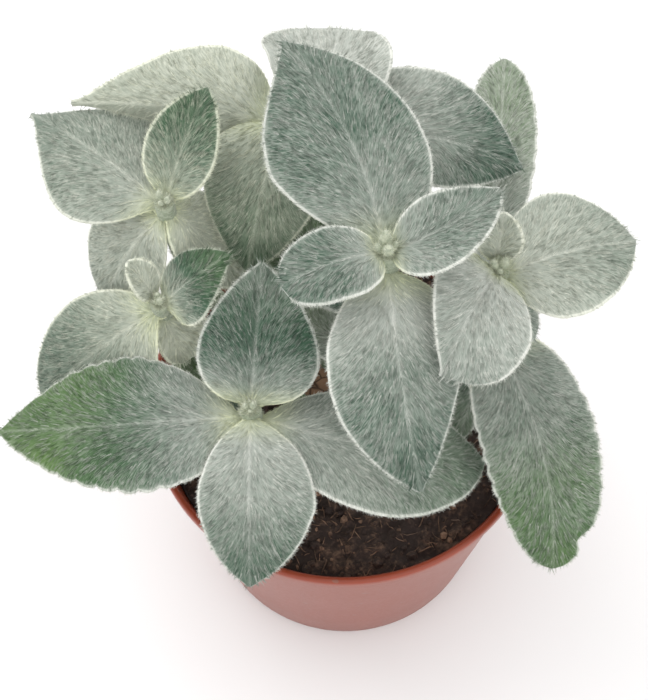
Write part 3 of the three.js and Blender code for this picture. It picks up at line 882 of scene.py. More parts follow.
def add_blade(body, values, node, rows, columns, seed):
    """Adds a closed blade, and gives the grids that its hairs grow from."""
    grid = blade_middle(values, node, rows, columns, seed)
    groove, swell = blade_relief(grid, seed)
    normal, forward, rightward = grid_normals(grid["places"])
    thick = BLADE_MARGIN + (BLADE_MIDDLE - BLADE_MARGIN) * (1 - grid["a"] ** 2)
    middle = grid["places"] + normal * swell[..., None]
    top = middle + normal * (thick / 2 + groove)[..., None]
    bottom = middle - normal * (thick / 2 - groove * RIB_BELOW)[..., None]
    tone = felt_tone(values, grid, seed)
    nap = nap_places(grid)
    edge = [
        middle[:, side] + rightward[:, side] * sign * MARGIN_ROUND for side, sign in ((-1, 1), (0, -1))
    ]
    ring = [top, edge[0][:, None], bottom[:, ::-1], edge[1][:, None]]
    around = 2 * columns + 4
    marks = vein_marks(grid)
    tones, naps, ring_marks = (
        np.concatenate([x, x[:, -1:], x[:, ::-1], x[:, :1]], axis=1) for x in (tone, nap, marks)
    )
    quads, i, k = tube_faces(rows + 1, around)
    faces, maps = [quads], [side_map(i, k, rows, around)]
    for ring_number, is_tip in ((0, False), (rows, True)):
        start = 0.5 if is_tip else 0.0
        j = start + np.arange(columns) / columns * CAP_SPAN
        step = CAP_SPAN / columns
        end_x = start + np.array([0.46, 0.48])
        faces.extend(cap_faces(columns, around, ring_number, is_tip))
        maps.append(cap_map([(j, 0), (j, 1), (j + step, 1), (j + step, 0)]))
        maps.append(cap_map([(end_x, 0), (end_x + 0.015, 0), (end_x, 1)]))
    body.add(
        np.concatenate(ring, axis=1), faces, uv=maps,
        tone=tones.reshape(-1, 3), nap=naps.reshape(-1, 3), marks=ring_marks.reshape(-1, 3),
    )
    upper, lower = grid_normals(top), grid_normals(bottom)
    return {
        "grid": grid,
        "tone": tone,
        "top": {"places": top, "normal": upper[0], "forward": upper[1], "rightward": upper[2]},
        "bottom": {"places": bottom, "normal": -lower[0], "forward": lower[1], "rightward": lower[2]},
        "edges": [
            {"places": edge[0], "out": rightward[:, -1], "forward": forward[:, -1],
             "normal": normal[:, -1], "tone": tone[:, -1], "half": grid["half"][:, -1]},
            {"places": edge[1], "out": -rightward[:, 0], "forward": forward[:, 0],
             "normal": normal[:, 0], "tone": tone[:, 0], "half": grid["half"][:, 0]},
        ],
    }


def cell_areas(places):
    """Area of each cell of a grid of points."""
    first = places[1:, 1:] - places[:-1, :-1]
    second = places[1:, :-1] - places[:-1, 1:]
    return np.linalg.norm(np.cross(first, second), axis=-1) / 2


def between(grid, i, j, s, t):
    """Values of a grid part way between its points."""
    s, t = (x.reshape(x.shape + (1,) * (grid.ndim - 2)) for x in (s, t))
    near = grid[i, j] * (1 - t) + grid[i, j + 1] * t
    far = grid[i + 1, j] * (1 - t) + grid[i + 1, j + 1] * t
    return near * (1 - s) + far * s


SPIKE_FACES = np.array([(0, 2, 1), (0, 1, 3), (1, 2, 3), (2, 0, 3)])


class Hairs:
    """Hairs gathered for one piece: each a closed, three-sided spike."""

    def __init__(self):
        self.parts = []

    def add(self, roots, shafts, widths, tones, strands):
        """Adds hairs by their roots, their shafts from root to tip, and their widths at the root."""
        self.parts.append((roots, shafts, widths, tones, strands))

    def onto(self, body, rng, finish=1):
        """Adds the hairs to the body, each with a cell of its own in the texture map."""
        roots, shafts, widths, tones, strands = (np.concatenate(x) for x in zip(*self.parts))
        number = len(roots)
        ways = unit(shafts)
        helper = np.where(np.abs(ways[:, 2:]) < 0.8, (0.0, 0.0, 1.0), (1.0, 0.0, 0.0))
        side = unit(np.cross(ways, helper))
        other = np.cross(ways, side)
        start = rng.uniform(0, 2 * math.pi, number)
        corners = []
        for k in range(3):
            angle = (start + 2 * math.pi * k / 3)[:, None]
            ray = np.cos(angle) * side + np.sin(angle) * other
            corners.append(roots + ray * widths[:, None] / 2)
        corners.append(roots + shafts)
        points = np.stack(corners, axis=1)
        faces = (np.arange(number)[:, None, None] * 4 + SPIKE_FACES).reshape(-1, 3)
        cells = int(math.ceil(math.sqrt(number)))
        column, row = np.arange(number) % cells, np.arange(number) // cells
        spots = [(0.05, 0.05), (0.9, 0.05), (0.05, 0.9)]
        cell = np.stack(
            [in_map(HAIR_MAP, (column + x) / cells, (row + y) / cells) for x, y in spots], axis=1
        )
        maps = np.repeat(cell[:, None], 4, axis=1)
        body.add(
            points, faces, finish=finish, smooth=False, uv=maps,
            tone=np.repeat(tones, 4, axis=0), strand=np.repeat(strands, 4),
        )


def cell_sizes(places):
    """Length and width of each cell of a grid of points."""
    tall = np.linalg.norm(places[1:, :-1] - places[:-1, :-1], axis=-1)
    wide = np.linalg.norm(places[:-1, 1:] - places[:-1, :-1], axis=-1)
    return np.maximum(tall, 0.05), np.maximum(wide, 0.05)


# Tufts: lengths in mm, angles in degrees
HAIRS_IN_TUFT = 4
TUFT_SPREAD = 0.17
TUFT_PULL = 0.7
TIP_SPREAD = 0.09
MARGIN_TRIM = 0.62
TRIM_FROM = 0.6
ANGLE_DRIFT = 15
DRIFT_CELL = 4
ANGLE_SPREAD = 4
LIFT_SPREAD = 0.35
LEAST_LIFT = 4
MOST_LIFT = 70
TIP_CLEARANCE = 0.12
ROOT_DEPTH = 0.08


def comb(hairs, face, tone, grid, settings, rng, seed, density, length=1.0):
    """Tufts of hairs over one face of a blade, combed forward from the midrib and out to the margins.

    The hairs of a tuft lean together towards its tip and leave dark partings between tufts.
    """
    areas = cell_areas(face["places"])
    number = int(areas.sum() * density / HAIRS_IN_TUFT)
    cell = np.sort(rng.choice(areas.size, number, p=(areas / areas.sum()).ravel()))
    i, j = np.unravel_index(cell, areas.shape)
    s, t = rng.uniform(0, 1, number), rng.uniform(0, 1, number)
    keys = ("places", "normal", "forward", "rightward")
    middle, normal, forward, rightward = (between(face[key], i, j, s, t) for key in keys)
    v = between(grid["v"], i, j, s, t)
    drift = ANGLE_DRIFT * lumps(middle, DRIFT_CELL, seed + 5)
    angle = np.radians(hair_angle(np.abs(v)) + drift + rng.normal(0, ANGLE_SPREAD, number))[:, None]
    ways = np.cos(angle) * forward + np.sin(angle) * rightward * np.sign(v)[:, None]
    lift = math.degrees(settings.hair_lift)
    rise = rng.normal(lift, lift * LIFT_SPREAD, number)
    rise = np.radians(np.clip(rise, LEAST_LIFT, MOST_LIFT))[:, None]
    ways = unit(ways) * np.cos(rise) + normal * np.sin(rise)
    reach = settings.hair_length / MM * length * rng.uniform(0.75, 1.25, number)
    reach = reach * (1 - MARGIN_TRIM * ease(np.abs(v), TRIM_FROM, 1))
    tips = middle + ways * reach[:, None]
    shade = rng.uniform(0, 1, number)

    tuft = np.repeat(np.arange(number), HAIRS_IN_TUFT)
    total = len(tuft)
    tall, wide = cell_sizes(face["places"])
    rows, columns = areas.shape
    row_place = i[tuft] + s[tuft] + rng.normal(0, TUFT_SPREAD, total) / tall[i, j][tuft]
    column_place = j[tuft] + t[tuft] + rng.normal(0, TUFT_SPREAD, total) / wide[i, j][tuft]
    row_place = np.clip(row_place, 0, rows - 1e-6)
    column_place = np.clip(column_place, 0, columns - 1e-6)
    i, j = row_place.astype(int), column_place.astype(int)
    s, t = row_place - i, column_place - j
    roots = between(face["places"], i, j, s, t)
    normal = between(face["normal"], i, j, s, t)
    own_tips = roots + ways[tuft] * (reach[tuft] * rng.uniform(0.7, 1.15, total))[:, None]
    ends = own_tips + (tips[tuft] - own_tips) * TUFT_PULL + rng.normal(0, TIP_SPREAD, (total, 3))
    height = np.sum((ends - roots) * normal, axis=1)
    ends = ends + normal * np.maximum(TIP_CLEARANCE - height, 0)[:, None]
    roots = roots - normal * ROOT_DEPTH
    widths = settings.hair_width / MM * rng.uniform(0.6, 1.4, total)
    strands = 0.8 * shade[tuft] + 0.2 * rng.uniform(0, 1, total)
    hairs.add(roots, ends - roots, widths, between(tone, i, j, s, t), strands)


# Fringe: lengths in mm, angles in degrees
FRINGED_HALF_WIDTH = 1.1 * STALK_HALF_WIDTH
FRINGE_INSET = 0.7
FRINGE_AHEAD = 30
FRINGE_DRIFT = 30
FRINGE_DRIFT_CELL = 2.2
FRINGE_SPREAD = 16
FRINGE_LIFT = 12
FRINGE_LIFT_SPREAD = 28
FRINGE_TONE = (0.6, -0.6, 0)


def fringe(hairs, edges, settings, rng, seed):
    """A dense white fringe along both margins."""
    for edge in edges:
        places = edge["places"]
        steps = np.linalg.norm(np.diff(places, axis=0), axis=-1)
        wanted = steps * (edge["half"][1:] > FRINGED_HALF_WIDTH)
        number = int(wanted.sum() * settings.fringe_density * MM)
        i = np.sort(rng.choice(len(steps), number, p=wanted / wanted.sum()))
        s = rng.uniform(0, 1, number)[:, None]
        roots, out, forward, normal, tone = (
            edge[key][i] * (1 - s) + edge[key][i + 1] * s
            for key in ("places", "out", "forward", "normal", "tone")
        )
        drift = FRINGE_DRIFT * lumps(roots, FRINGE_DRIFT_CELL, seed + 7)
        ahead = np.radians(FRINGE_AHEAD + drift + rng.normal(0, FRINGE_SPREAD, number))[:, None]
        rise = np.radians(rng.normal(FRINGE_LIFT, FRINGE_LIFT_SPREAD, number))[:, None]
        ways = np.cos(ahead) * out + np.sin(ahead) * forward
        ways = unit(ways) * np.cos(rise) + normal * np.sin(rise)
        reach = settings.fringe_length / MM * rng.uniform(0.5, 1.25, number)
        widths = settings.hair_width / MM * rng.uniform(0.6, 1.2, number)
        white = np.clip(tone + FRINGE_TONE, 0, 1)
        roots = roots - out * rng.uniform(0.1, FRINGE_INSET, number)[:, None]
        hairs.add(roots, ways * reach[:, None], widths, white, rng.uniform(0.6, 1, number))


LARGE_LEAF_LENGTH = 34
LARGE_LEAF_GRID = (46, 26)
SMALL_LEAF_GRID = (24, 16)
SCALLOPED_ROWS = 118
UNDER_HAIR_LENGTH = 0.8


def add_leaf(body, hairs, values, node, settings, rng, seed):
    """Adds a blade to the body and its hairs to the hairs."""
    length = math.dist(values["foot"], values["tip"])
    rows, columns = LARGE_LEAF_GRID if length >= LARGE_LEAF_LENGTH else SMALL_LEAF_GRID
    if values["teeth"]:
        rows = SCALLOPED_ROWS
    made = add_blade(body, values, node, rows, columns, seed)
    over = settings.hairs_over * MM * MM
    under = settings.hairs_under * MM * MM
    comb(hairs, made["top"], made["tone"], made["grid"], settings, rng, seed, over)
    comb(
        hairs, made["bottom"], made["tone"], made["grid"], settings, rng, seed + 9, under, UNDER_HAIR_LENGTH
    )
    fringe(hairs, made["edges"], settings, rng, seed)


class WoolSettings(bpy.types.PropertyGroup):
    """Felt of the leaves, buds and stems."""

    hair_length: bpy.props.FloatProperty(
        name="Hair length", description="Usual length of a hair on a leaf's upper face",
        default=0.0026, min=0.0005, max=0.01, subtype="DISTANCE", unit="LENGTH", precision=5,
    )
    hair_width: bpy.props.FloatProperty(
        name="Hair width", description="Width of a hair, or of a few that cling together, at its root",
        default=0.00013, min=0.00002, max=0.001, subtype="DISTANCE", unit="LENGTH", precision=6,
    )
    hair_lift: bpy.props.FloatProperty(
        name="Hair lift", description="How steeply the hairs stand off the leaf",
        default=math.radians(9), min=0, max=math.radians(80), subtype="ANGLE", unit="ROTATION",
    )
    hairs_over: bpy.props.FloatProperty(
        name="Hairs above", description="Hairs on each square metre of a leaf's upper face",
        default=3.9e6, min=0, max=1e7,
    )
    hairs_under: bpy.props.FloatProperty(
        name="Hairs below", description="Hairs on each square metre of a leaf's lower face",
        default=0.35e6, min=0, max=1e7,
    )
    fringe_length: bpy.props.FloatProperty(
        name="Fringe length", description="Usual length of a hair at a leaf's margin",
        default=0.0011, min=0.0003, max=0.01, subtype="DISTANCE", unit="LENGTH", precision=5,
    )
    fringe_density: bpy.props.FloatProperty(
        name="Fringe density", description="Hairs on each metre of a leaf's margin",
        default=11500, min=0, max=20000,
    )
    hair_pale: bpy.props.FloatProperty(
        name="Hair paleness", description="How white a hair is where the felt is thinnest",
        default=0.12, min=0, max=1, subtype="FACTOR",
    )
    hair_follow: bpy.props.FloatProperty(
        name="Hair following", description="How much a hair takes on the paleness of the felt below",
        default=0.66, min=0, max=1, subtype="FACTOR",
    )
    hair_variety: bpy.props.FloatProperty(
        name="Hair variety", description="How much neighbouring tufts differ in paleness",
        default=0.66, min=0, max=2,
    )
    rib_pale: bpy.props.FloatProperty(
        name="Midrib paleness", description="How much whiter the midrib is than the felt beside it",
        default=0.22, min=0, max=1, subtype="FACTOR",
    )
    margin_pale: bpy.props.FloatProperty(
        name="Margin paleness", description="How much whiter the margin is than the felt beside it",
        default=0.4, min=0, max=1, subtype="FACTOR",
    )
    vein_pale: bpy.props.FloatProperty(
        name="Vein paleness", description="How much whiter the side veins are than the felt beside them",
        default=0.12, min=0, max=1, subtype="FACTOR",
    )
    felt_follow: bpy.props.FloatProperty(
        name="Felt following", description="How white the short felt under the hairs is, beside the wool",
        default=0.62, min=0, max=1, subtype="FACTOR",
    )
    wool_colour: bpy.props.FloatVectorProperty(
        name="Wool", description="Colour of thick white wool",
        default=(0.75, 0.76, 0.70), min=0, max=1, subtype="COLOR", size=3,
    )
    skin_colour: bpy.props.FloatVectorProperty(
        name="Skin", description="Blue-green of the leaf between the hairs",
        default=(0.038, 0.085, 0.053), min=0, max=1, subtype="COLOR", size=3,
    )
    green_colour: bpy.props.FloatVectorProperty(
        name="Green", description="Fresh green where the felt is thin",
        default=(0.09, 0.165, 0.045), min=0, max=1, subtype="COLOR", size=3,
    )
    cream_colour: bpy.props.FloatVectorProperty(
        name="Cream", description="Creamy wool in the heart of a shoot",
        default=(0.77, 0.80, 0.54), min=0, max=1, subtype="COLOR", size=3,
    )


class PotSettings(bpy.types.PropertyGroup):
    """Nursery pot."""

    plastic_colour: bpy.props.FloatVectorProperty(
        name="Plastic", description="Terracotta colour of the pot",
        default=(0.235, 0.041, 0.017), min=0, max=1, subtype="COLOR", size=3,
    )
    lip_colour: bpy.props.FloatVectorProperty(
        name="Lip", description="Colour of the thicker lip", default=(0.27, 0.044, 0.017),
        min=0, max=1, subtype="COLOR", size=3,
    )
    roughness: bpy.props.FloatProperty(
        name="Roughness", description="How dull the plastic is",
        default=0.34, min=0, max=1, subtype="FACTOR",
    )
    facets: bpy.props.IntProperty(
        name="Facets", description="Steps round the pot", default=144, min=24, max=512,
    )


class SoilSettings(bpy.types.PropertyGroup):
    """Peat in the pot."""

    peat_colour: bpy.props.FloatVectorProperty(
        name="Peat", description="Colour of damp peat", default=(0.042, 0.027, 0.023),
        min=0, max=1, subtype="COLOR", size=3,
    )
    crumb_colour: bpy.props.FloatVectorProperty(
        name="Crumbs", description="Colour of the drier crumbs", default=(0.32, 0.19, 0.125),
        min=0, max=1, subtype="COLOR", size=3,
    )
    straw_colour: bpy.props.FloatVectorProperty(
        name="Straws", description="Colour of the pale fibres", default=(0.52, 0.40, 0.32),
        min=0, max=1, subtype="COLOR", size=3,
    )
    crumbs: bpy.props.IntProperty(
        name="Crumbs", description="Number of loose crumbs", default=1700, min=0, max=8000,
    )
    fibres: bpy.props.IntProperty(
        name="Fibres", description="Number of fibres", default=800, min=0, max=4000,
    )


class StudioSettings(bpy.types.PropertyGroup):
    """Floor and lights."""

    floor_colour: bpy.props.FloatVectorProperty(
        name="Floor", description="Colour of the floor", default=(0.9, 0.9, 0.9),
        min=0, max=1, subtype="COLOR", size=3,
    )
    sky_strength: bpy.props.FloatProperty(
        name="Sky", description="Strength of the even light from all round", default=1.2, min=0, max=10,
    )
    key_power: bpy.props.FloatProperty(
        name="Key light", description="Power of the large lamp above", default=3, min=0, max=500,
        subtype="POWER", unit="POWER",
    )
    fill_power: bpy.props.FloatProperty(
        name="Fill light", description="Power of the lamp in front", default=1, min=0, max=500,
        subtype="POWER", unit="POWER",
    )


def wool_and_finishes(context):
    """The wool's settings, and the finishes of a woolly piece: its skin, then its hairs."""
    settings = context.scene.edelweiss_wool
    return settings, [blade_finish(settings), hair_finish(settings)]


class EDELWEISS_OT_leaves(bpy.types.Operator):
    """Grow every leaf: a felted blade under combed hairs, with a white fringe"""

    bl_idname = "edelweiss.leaves"
    bl_label = "Leaves"

    def execute(self, context):
        settings, finishes = wool_and_finishes(context)
        seed = LEAF_SEED
        for shoot_name, shoot in SHOOTS.items():
            for leaf_name, values in shoot["leaves"].items():
                seed += SEED_STEP
                rng = np.random.default_rng(seed)
                body, hairs = Body(), Hairs()
                add_leaf(body, hairs, values, shoot["node"], settings, rng, seed)
                hairs.onto(body, rng)
                full_name = shoot_name + "_" + leaf_name
                piece = body.build("woolly_leaf_" + full_name, finishes)
                slot = "old_leaf_felt" if leaf_name.startswith("old") else "leaf_felt"
                place(piece, slot, "leaf_" + full_name)
        return {"FINISHED"}


def centripetal(points, count):
    """Points along a smooth curve through the given ones, and the curve's direction at each."""
    points = np.asarray(points, float)
    ends = np.vstack([2 * points[0] - points[1], points, 2 * points[-1] - points[-2]])
    result = []
    for t in np.linspace(0, len(points) - 1, count):
        i = min(int(t), len(points) - 2)
        x0, x1, x2, x3 = ends[i : i + 4]
        d0, d1, d2 = (math.sqrt(math.dist(p, q)) for p, q in ((x0, x1), (x1, x2), (x2, x3)))
        slope1 = ((x1 - x0) / d0 - (x2 - x0) / (d0 + d1) + (x2 - x1) / d1) * d1
        slope2 = ((x2 - x1) / d1 - (x3 - x1) / (d1 + d2) + (x3 - x2) / d2) * d1
        w = t - i
        square = -3 * x1 + 3 * x2 - 2 * slope1 - slope2
        cube = 2 * x1 - 2 * x2 + slope1 + slope2
        result.append(x1 + slope1 * w + square * w**2 + cube * w**3)
    path = np.array(result)
    return path, unit(np.gradient(path, axis=0))


def tube_rings(path, ways, radii, around):
    """Rings of points round a path, without twist, and the outward direction at each."""
    side = unit(np.cross(ways[0], (0.0, 1.0, 0.0)))
    angles = np.linspace(0, 2 * math.pi, around, endpoint=False)
    rings, rays = [], []
    for centre, way, radius in zip(path, ways, radii):
        side = unit(side - way * np.dot(side, way))
        other = np.cross(way, side)
        ray = np.cos(angles)[:, None] * side + np.sin(angles)[:, None] * other
        rings.append(centre + ray * radius)
        rays.append(ray)
    return np.array(rings), np.array(rays)


def add_rod(body, path, ways, radii, around, tone, seed):
    """Adds a closed, slightly rough rod, and gives the grids that its hairs grow from."""
    rows = len(path)
    rings, rays = tube_rings(path, ways, radii, around)
    size = np.minimum(radii / 3, 1)[:, None]
    rough = (lumps(rings, 2.4, seed) * 0.12 + lumps(rings, 7, seed + 1) * 0.2) * size
    rings = rings + rays * rough[..., None]
    quads, i, k = tube_faces(rows, around)
    faces = [quads]
    maps = [side_map(i, k, rows - 1, around)]
    k = np.arange(around)
    after, last, pole = (k + 1) % around, (rows - 1) * around, rows * around
    faces.append(np.stack([after, k, np.full_like(k, pole)], axis=1))
    faces.append(np.stack([last + k, last + after, np.full_like(k, pole + 1)], axis=1))
    for start in (0.0, 0.5):
        x = start + k / around * CAP_SPAN
        maps.append(cap_map([(x, 0), (x + 0.4 / around, 0), (x, 1)]))
    nap = np.stack([lumps(rings, 3, seed + 3) * 4, rings[..., 2], 0 * rings[..., 2]], axis=-1)
    body.add(
        np.concatenate([rings.reshape(-1, 3), path[[0, -1]]]), faces, uv=maps,
        tone=np.concatenate([tone.reshape(-1, 3), tone[[0, -1], 0]]),
        nap=np.concatenate([nap.reshape(-1, 3), nap[[0, -1], 0]]),
    )
    again = [np.concatenate([x, x[:, :1]], axis=1) for x in (rings, rays, tone)]
    return {"places": again[0], "rays": again[1], "tone": again[2], "ways": ways}


BRISTLE_SPREAD = 14
BRISTLE_SWING = 0.3
BRISTLE_TONE = (0.25, -0.2, 0)


def bristle(hairs, rod, crowd, reach, climb, settings, rng):
    """Hairs on a rod: crowd is how many to a mm2, reach how long, climb how steep, one for each row."""
    areas = cell_areas(rod["places"]) * crowd[1:, None]
    number = int(areas.sum())
    cell = np.sort(rng.choice(areas.size, number, p=(areas / areas.sum()).ravel()))
    i, j = np.unravel_index(cell, areas.shape)
    s, t = rng.uniform(0, 1, number), rng.uniform(0, 1, number)
    roots, outward, tones = (between(rod[key], i, j, s, t) for key in ("places", "rays", "tone"))
    outward = unit(outward)
    along = rod["ways"][i]
    rise = np.radians(climb[i] + rng.normal(0, BRISTLE_SPREAD, number))[:, None]
    swing = rng.normal(0, BRISTLE_SWING, (number, 1)) * np.cross(outward, along)
    shafts = unit(np.cos(rise) * outward + np.sin(rise) * along + swing)
    shafts = shafts * (reach[i] * rng.uniform(0.6, 1.3, number))[:, None]
    widths = settings.hair_width / MM * rng.uniform(0.6, 1.2, number)
    tones = np.clip(tones + BRISTLE_TONE, 0, 1)
    hairs.add(roots - outward * ROOT_DEPTH, shafts, widths, tones, rng.uniform(0, 1, number))


STEM_ROWS = 56
STEM_AROUND = 18
STEM_TAPER = 0.12
STEM_SWELL = 0.03
STEM_SWELL_BEAT = 21
NECK_START = 13
NECK_END = 6.5
NECK_THINNING = 0.72
# Hairs on the stem: how many to a mm2, how long and how steep, each with its change up to the neck
STEM_CROWD = (1.2, 20)
STEM_HAIR = (1.6, 1.6)
STEM_CLIMB = (48, -30)


def add_stem(body, hairs, shoot, settings, rng, seed):
    """Adds a tapering stem. Its hairs point up, and at the top spread over the feet of the leaves."""
    node = np.array(shoot["node"], float)
    path, ways = centripetal([*shoot["stem"], node, node + (0, 0, STEM_TOP)], STEM_ROWS)
    u = np.linspace(0, 1, STEM_ROWS)
    to_top = (1 - u) * np.linalg.norm(np.diff(path, axis=0), axis=1).sum()
    heart = 1 - ease(to_top, NECK_END, NECK_START)
    uneven = 1.06 - STEM_TAPER * u + STEM_SWELL * np.sin(u * STEM_SWELL_BEAT)
    radii = shoot["radius"] * uneven * (1 - NECK_THINNING * heart)
    flat = np.zeros((STEM_ROWS, STEM_AROUND))
    woolly = 0.35 + 0.4 * u[:, None] + 0.3 * heart[:, None] + flat
    tone = np.stack([woolly, 0.75 - 0.35 * u[:, None] + flat, 0.5 * u[:, None] + flat], axis=-1)
    rod = add_rod(body, path, ways, radii, STEM_AROUND, tone, seed)
    crowd, reach, climb = (low + change * heart for low, change in (STEM_CROWD, STEM_HAIR, STEM_CLIMB))
    bristle(hairs, rod, crowd, reach, climb, settings, rng)


class EDELWEISS_OT_stems(bpy.types.Operator):
    """Grow the hairy stems from the tuber to the shoots' nodes"""

    bl_idname = "edelweiss.stems"
    bl_label = "Stems"

    def execute(self, context):
        settings, finishes = wool_and_finishes(context)
        for number, (name, shoot) in enumerate(SHOOTS.items()):
            seed = STEM_SEED + number * SEED_STEP
            rng = np.random.default_rng(seed)
            body, hairs = Body(), Hairs()
            add_stem(body, hairs, shoot, settings, rng, seed)
            hairs.onto(body, rng)
            place(body.build("woolly_stem_" + name, finishes), "stem_felt", "stem_" + name)
        return {"FINISHED"}


SCALE_ROWS = 18
SCALE_AROUND = 14
SCALE_WIDEST = 0.4
SCALE_BEND = 0.5
BUD_SINK = 1
BUD_CROWD = 7
BUD_HAIR = 1.1
BUD_CLIMB = 52
# Each scale's heading from the bud's own, tilt from upright, length and radius
BUD_SCALES = ((0, 16, 6.6, 1.75), (180, 24, 5.6, 1.6), (90, 36, 4.4, 1.3), (-90, 40, 4.0, 1.2))


class EDELWEISS_OT_buds(bpy.types.Operator):
    """Grow the buds: four plump scales in dense cream wool"""

    bl_idname = "edelweiss.buds"
    bl_label = "Buds"

    def execute(self, context):
        settings, finishes = wool_and_finishes(context)
        s = np.linspace(0.01, 0.99, SCALE_ROWS)
        beyond = 1 - SCALE_WIDEST
        plump = (s / SCALE_WIDEST) ** SCALE_WIDEST * ((1 - s) / beyond) ** beyond
        for number, (name, shoot) in enumerate(SHOOTS.items()):
            seed = BUD_SEED + number * SEED_STEP
            rng = np.random.default_rng(seed)
            body, hairs = Body(), Hairs()
            foot = np.array(shoot["node"], float) + (0, 0, STEM_TOP + SEAT_GAP - BUD_SINK)
            size = shoot["bud_size"]
            for turn, tilt, length, radius in BUD_SCALES:
                heading, lean = math.radians(shoot["bud_heading"] + turn), math.radians(tilt)
                out = np.array([math.cos(heading), math.sin(heading), 0])
                reach = s[:, None] * length * size
                path = foot + reach * (np.array([0, 0, math.cos(lean)]) + out * math.sin(lean))
                path = path + out * (SCALE_BEND * size * np.sin(math.pi * s))[:, None]
                flat = np.zeros((SCALE_ROWS, SCALE_AROUND))
                woolly = 0.7 + 0.3 * s[:, None] + flat
                tone = np.stack([woolly, flat + 0.8 - 0.6 * s[:, None], flat + 0.45], axis=-1)
                ways = unit(np.gradient(path, axis=0))
                rod = add_rod(body, path, ways, radius * size * plump, SCALE_AROUND, tone, seed)
                full = np.ones(SCALE_ROWS)
                bristle(hairs, rod, BUD_CROWD * full, BUD_HAIR * full, BUD_CLIMB * full, settings, rng)
            hairs.onto(body, rng)
            place(body.build("woolly_bud_" + name, finishes), "bud_felt", "bud_" + name)
        return {"FINISHED"}


def wall_radius(height):
    """Radius of the pot's outer wall at a height, without the lip."""
    top = RIM_RADIUS - LIP_OVERHANG
    return BASE_RADIUS + (top - BASE_RADIUS) * height / POT_HEIGHT


def arc(centre_r, centre_z, radius, start, end, steps):
    """Profile points round a corner, by angles in degrees."""
    angles = np.radians(np.linspace(start, end, steps + 1))
    return [(centre_r + radius * math.cos(x), centre_z + radius * math.sin(x)) for x in angles]


LIP_ROUND = 1.0
HEEL_ROUND = 1.5
CORNER_STEPS = 5
WALL_STEPS = (20, 45, 70)
FLOOR_CORNER_HEIGHT = 1.5
FLOOR_CORNER_WIDTH = 1.2
# The lip's lower edge: how far in from the rim, and how far up
LIP_EDGE = ((0.2, 0.15), (0, 0.5))


def pot_profile():
    """Outline of the pot from the middle of its underside, up the outside and back down the inside."""
    lip_foot = POT_HEIGHT - LIP_HEIGHT
    inside = RIM_RADIUS - LIP_WIDTH
    outer = arc(RIM_RADIUS - LIP_ROUND, POT_HEIGHT - LIP_ROUND, LIP_ROUND, 0, 90, CORNER_STEPS)
    inner = arc(inside + LIP_ROUND, POT_HEIGHT - LIP_ROUND, LIP_ROUND, 90, 180, CORNER_STEPS)
    heel = arc(BASE_RADIUS - HEEL_ROUND, HEEL_ROUND, HEEL_ROUND, -90, -8, CORNER_STEPS)
    wall = [(wall_radius(z), z) for z in (HEEL_ROUND + 1, *WALL_STEPS, lip_foot - LIP_OVERHANG, lip_foot)]
    lip = [(RIM_RADIUS - inward, lip_foot + up) for inward, up in LIP_EDGE]
    corner = POT_FLOOR + FLOOR_CORNER_HEIGHT
    down = [(wall_radius(z) - POT_WALL, z) for z in (lip_foot, *reversed(WALL_STEPS), corner)]
    foot = [(wall_radius(POT_FLOOR) - POT_WALL - FLOOR_CORNER_WIDTH, POT_FLOOR)]
    return [(0, 0), *heel, *wall, *lip, *outer, *inner, *down, *foot, (0, POT_FLOOR)]


def lathe(profile, facets):
    """Points and faces of a profile turned about Z. It starts and ends on the axis."""
    inner = np.array(profile[1:-1], float)
    angles = np.linspace(0, 2 * math.pi, facets, endpoint=False)
    rings = np.stack(
        [
            inner[:, :1] * np.cos(angles),
            inner[:, :1] * np.sin(angles),
            np.repeat(inner[:, 1:], facets, axis=1),
        ],
        axis=-1,
    )
    quads, _, _ = tube_faces(len(inner), facets)
    first = len(inner) * facets
    k = np.arange(facets)
    after = (k + 1) % facets
    last = (len(inner) - 1) * facets
    foot = np.stack([after, k, np.full_like(k, first)], axis=1)
    head = np.stack([last + k, last + after, np.full_like(k, first + 1)], axis=1)
    poles = [(0, 0, profile[0][1]), (0, 0, profile[-1][1])]
    return np.concatenate([rings.reshape(-1, 3), poles]), [quads, foot, head]


def cylinder(x, y, radius, low, high, facets):
    """Points and faces of an upright cylinder."""
    points, faces = lathe([(0, low), (radius, low), (radius, high), (0, high)], facets)
    return points + (x, y, 0), faces


LIP_FADE = 0.4
# Pale pink of the painted reflection on the pot's wall
PAINTED_REFLECTION_PINK = (0.50, 0.30, 0.25)
SPECK_COLOUR = (0.22, 0.12, 0.09)
PLASTIC_RELIEF = 0.0002


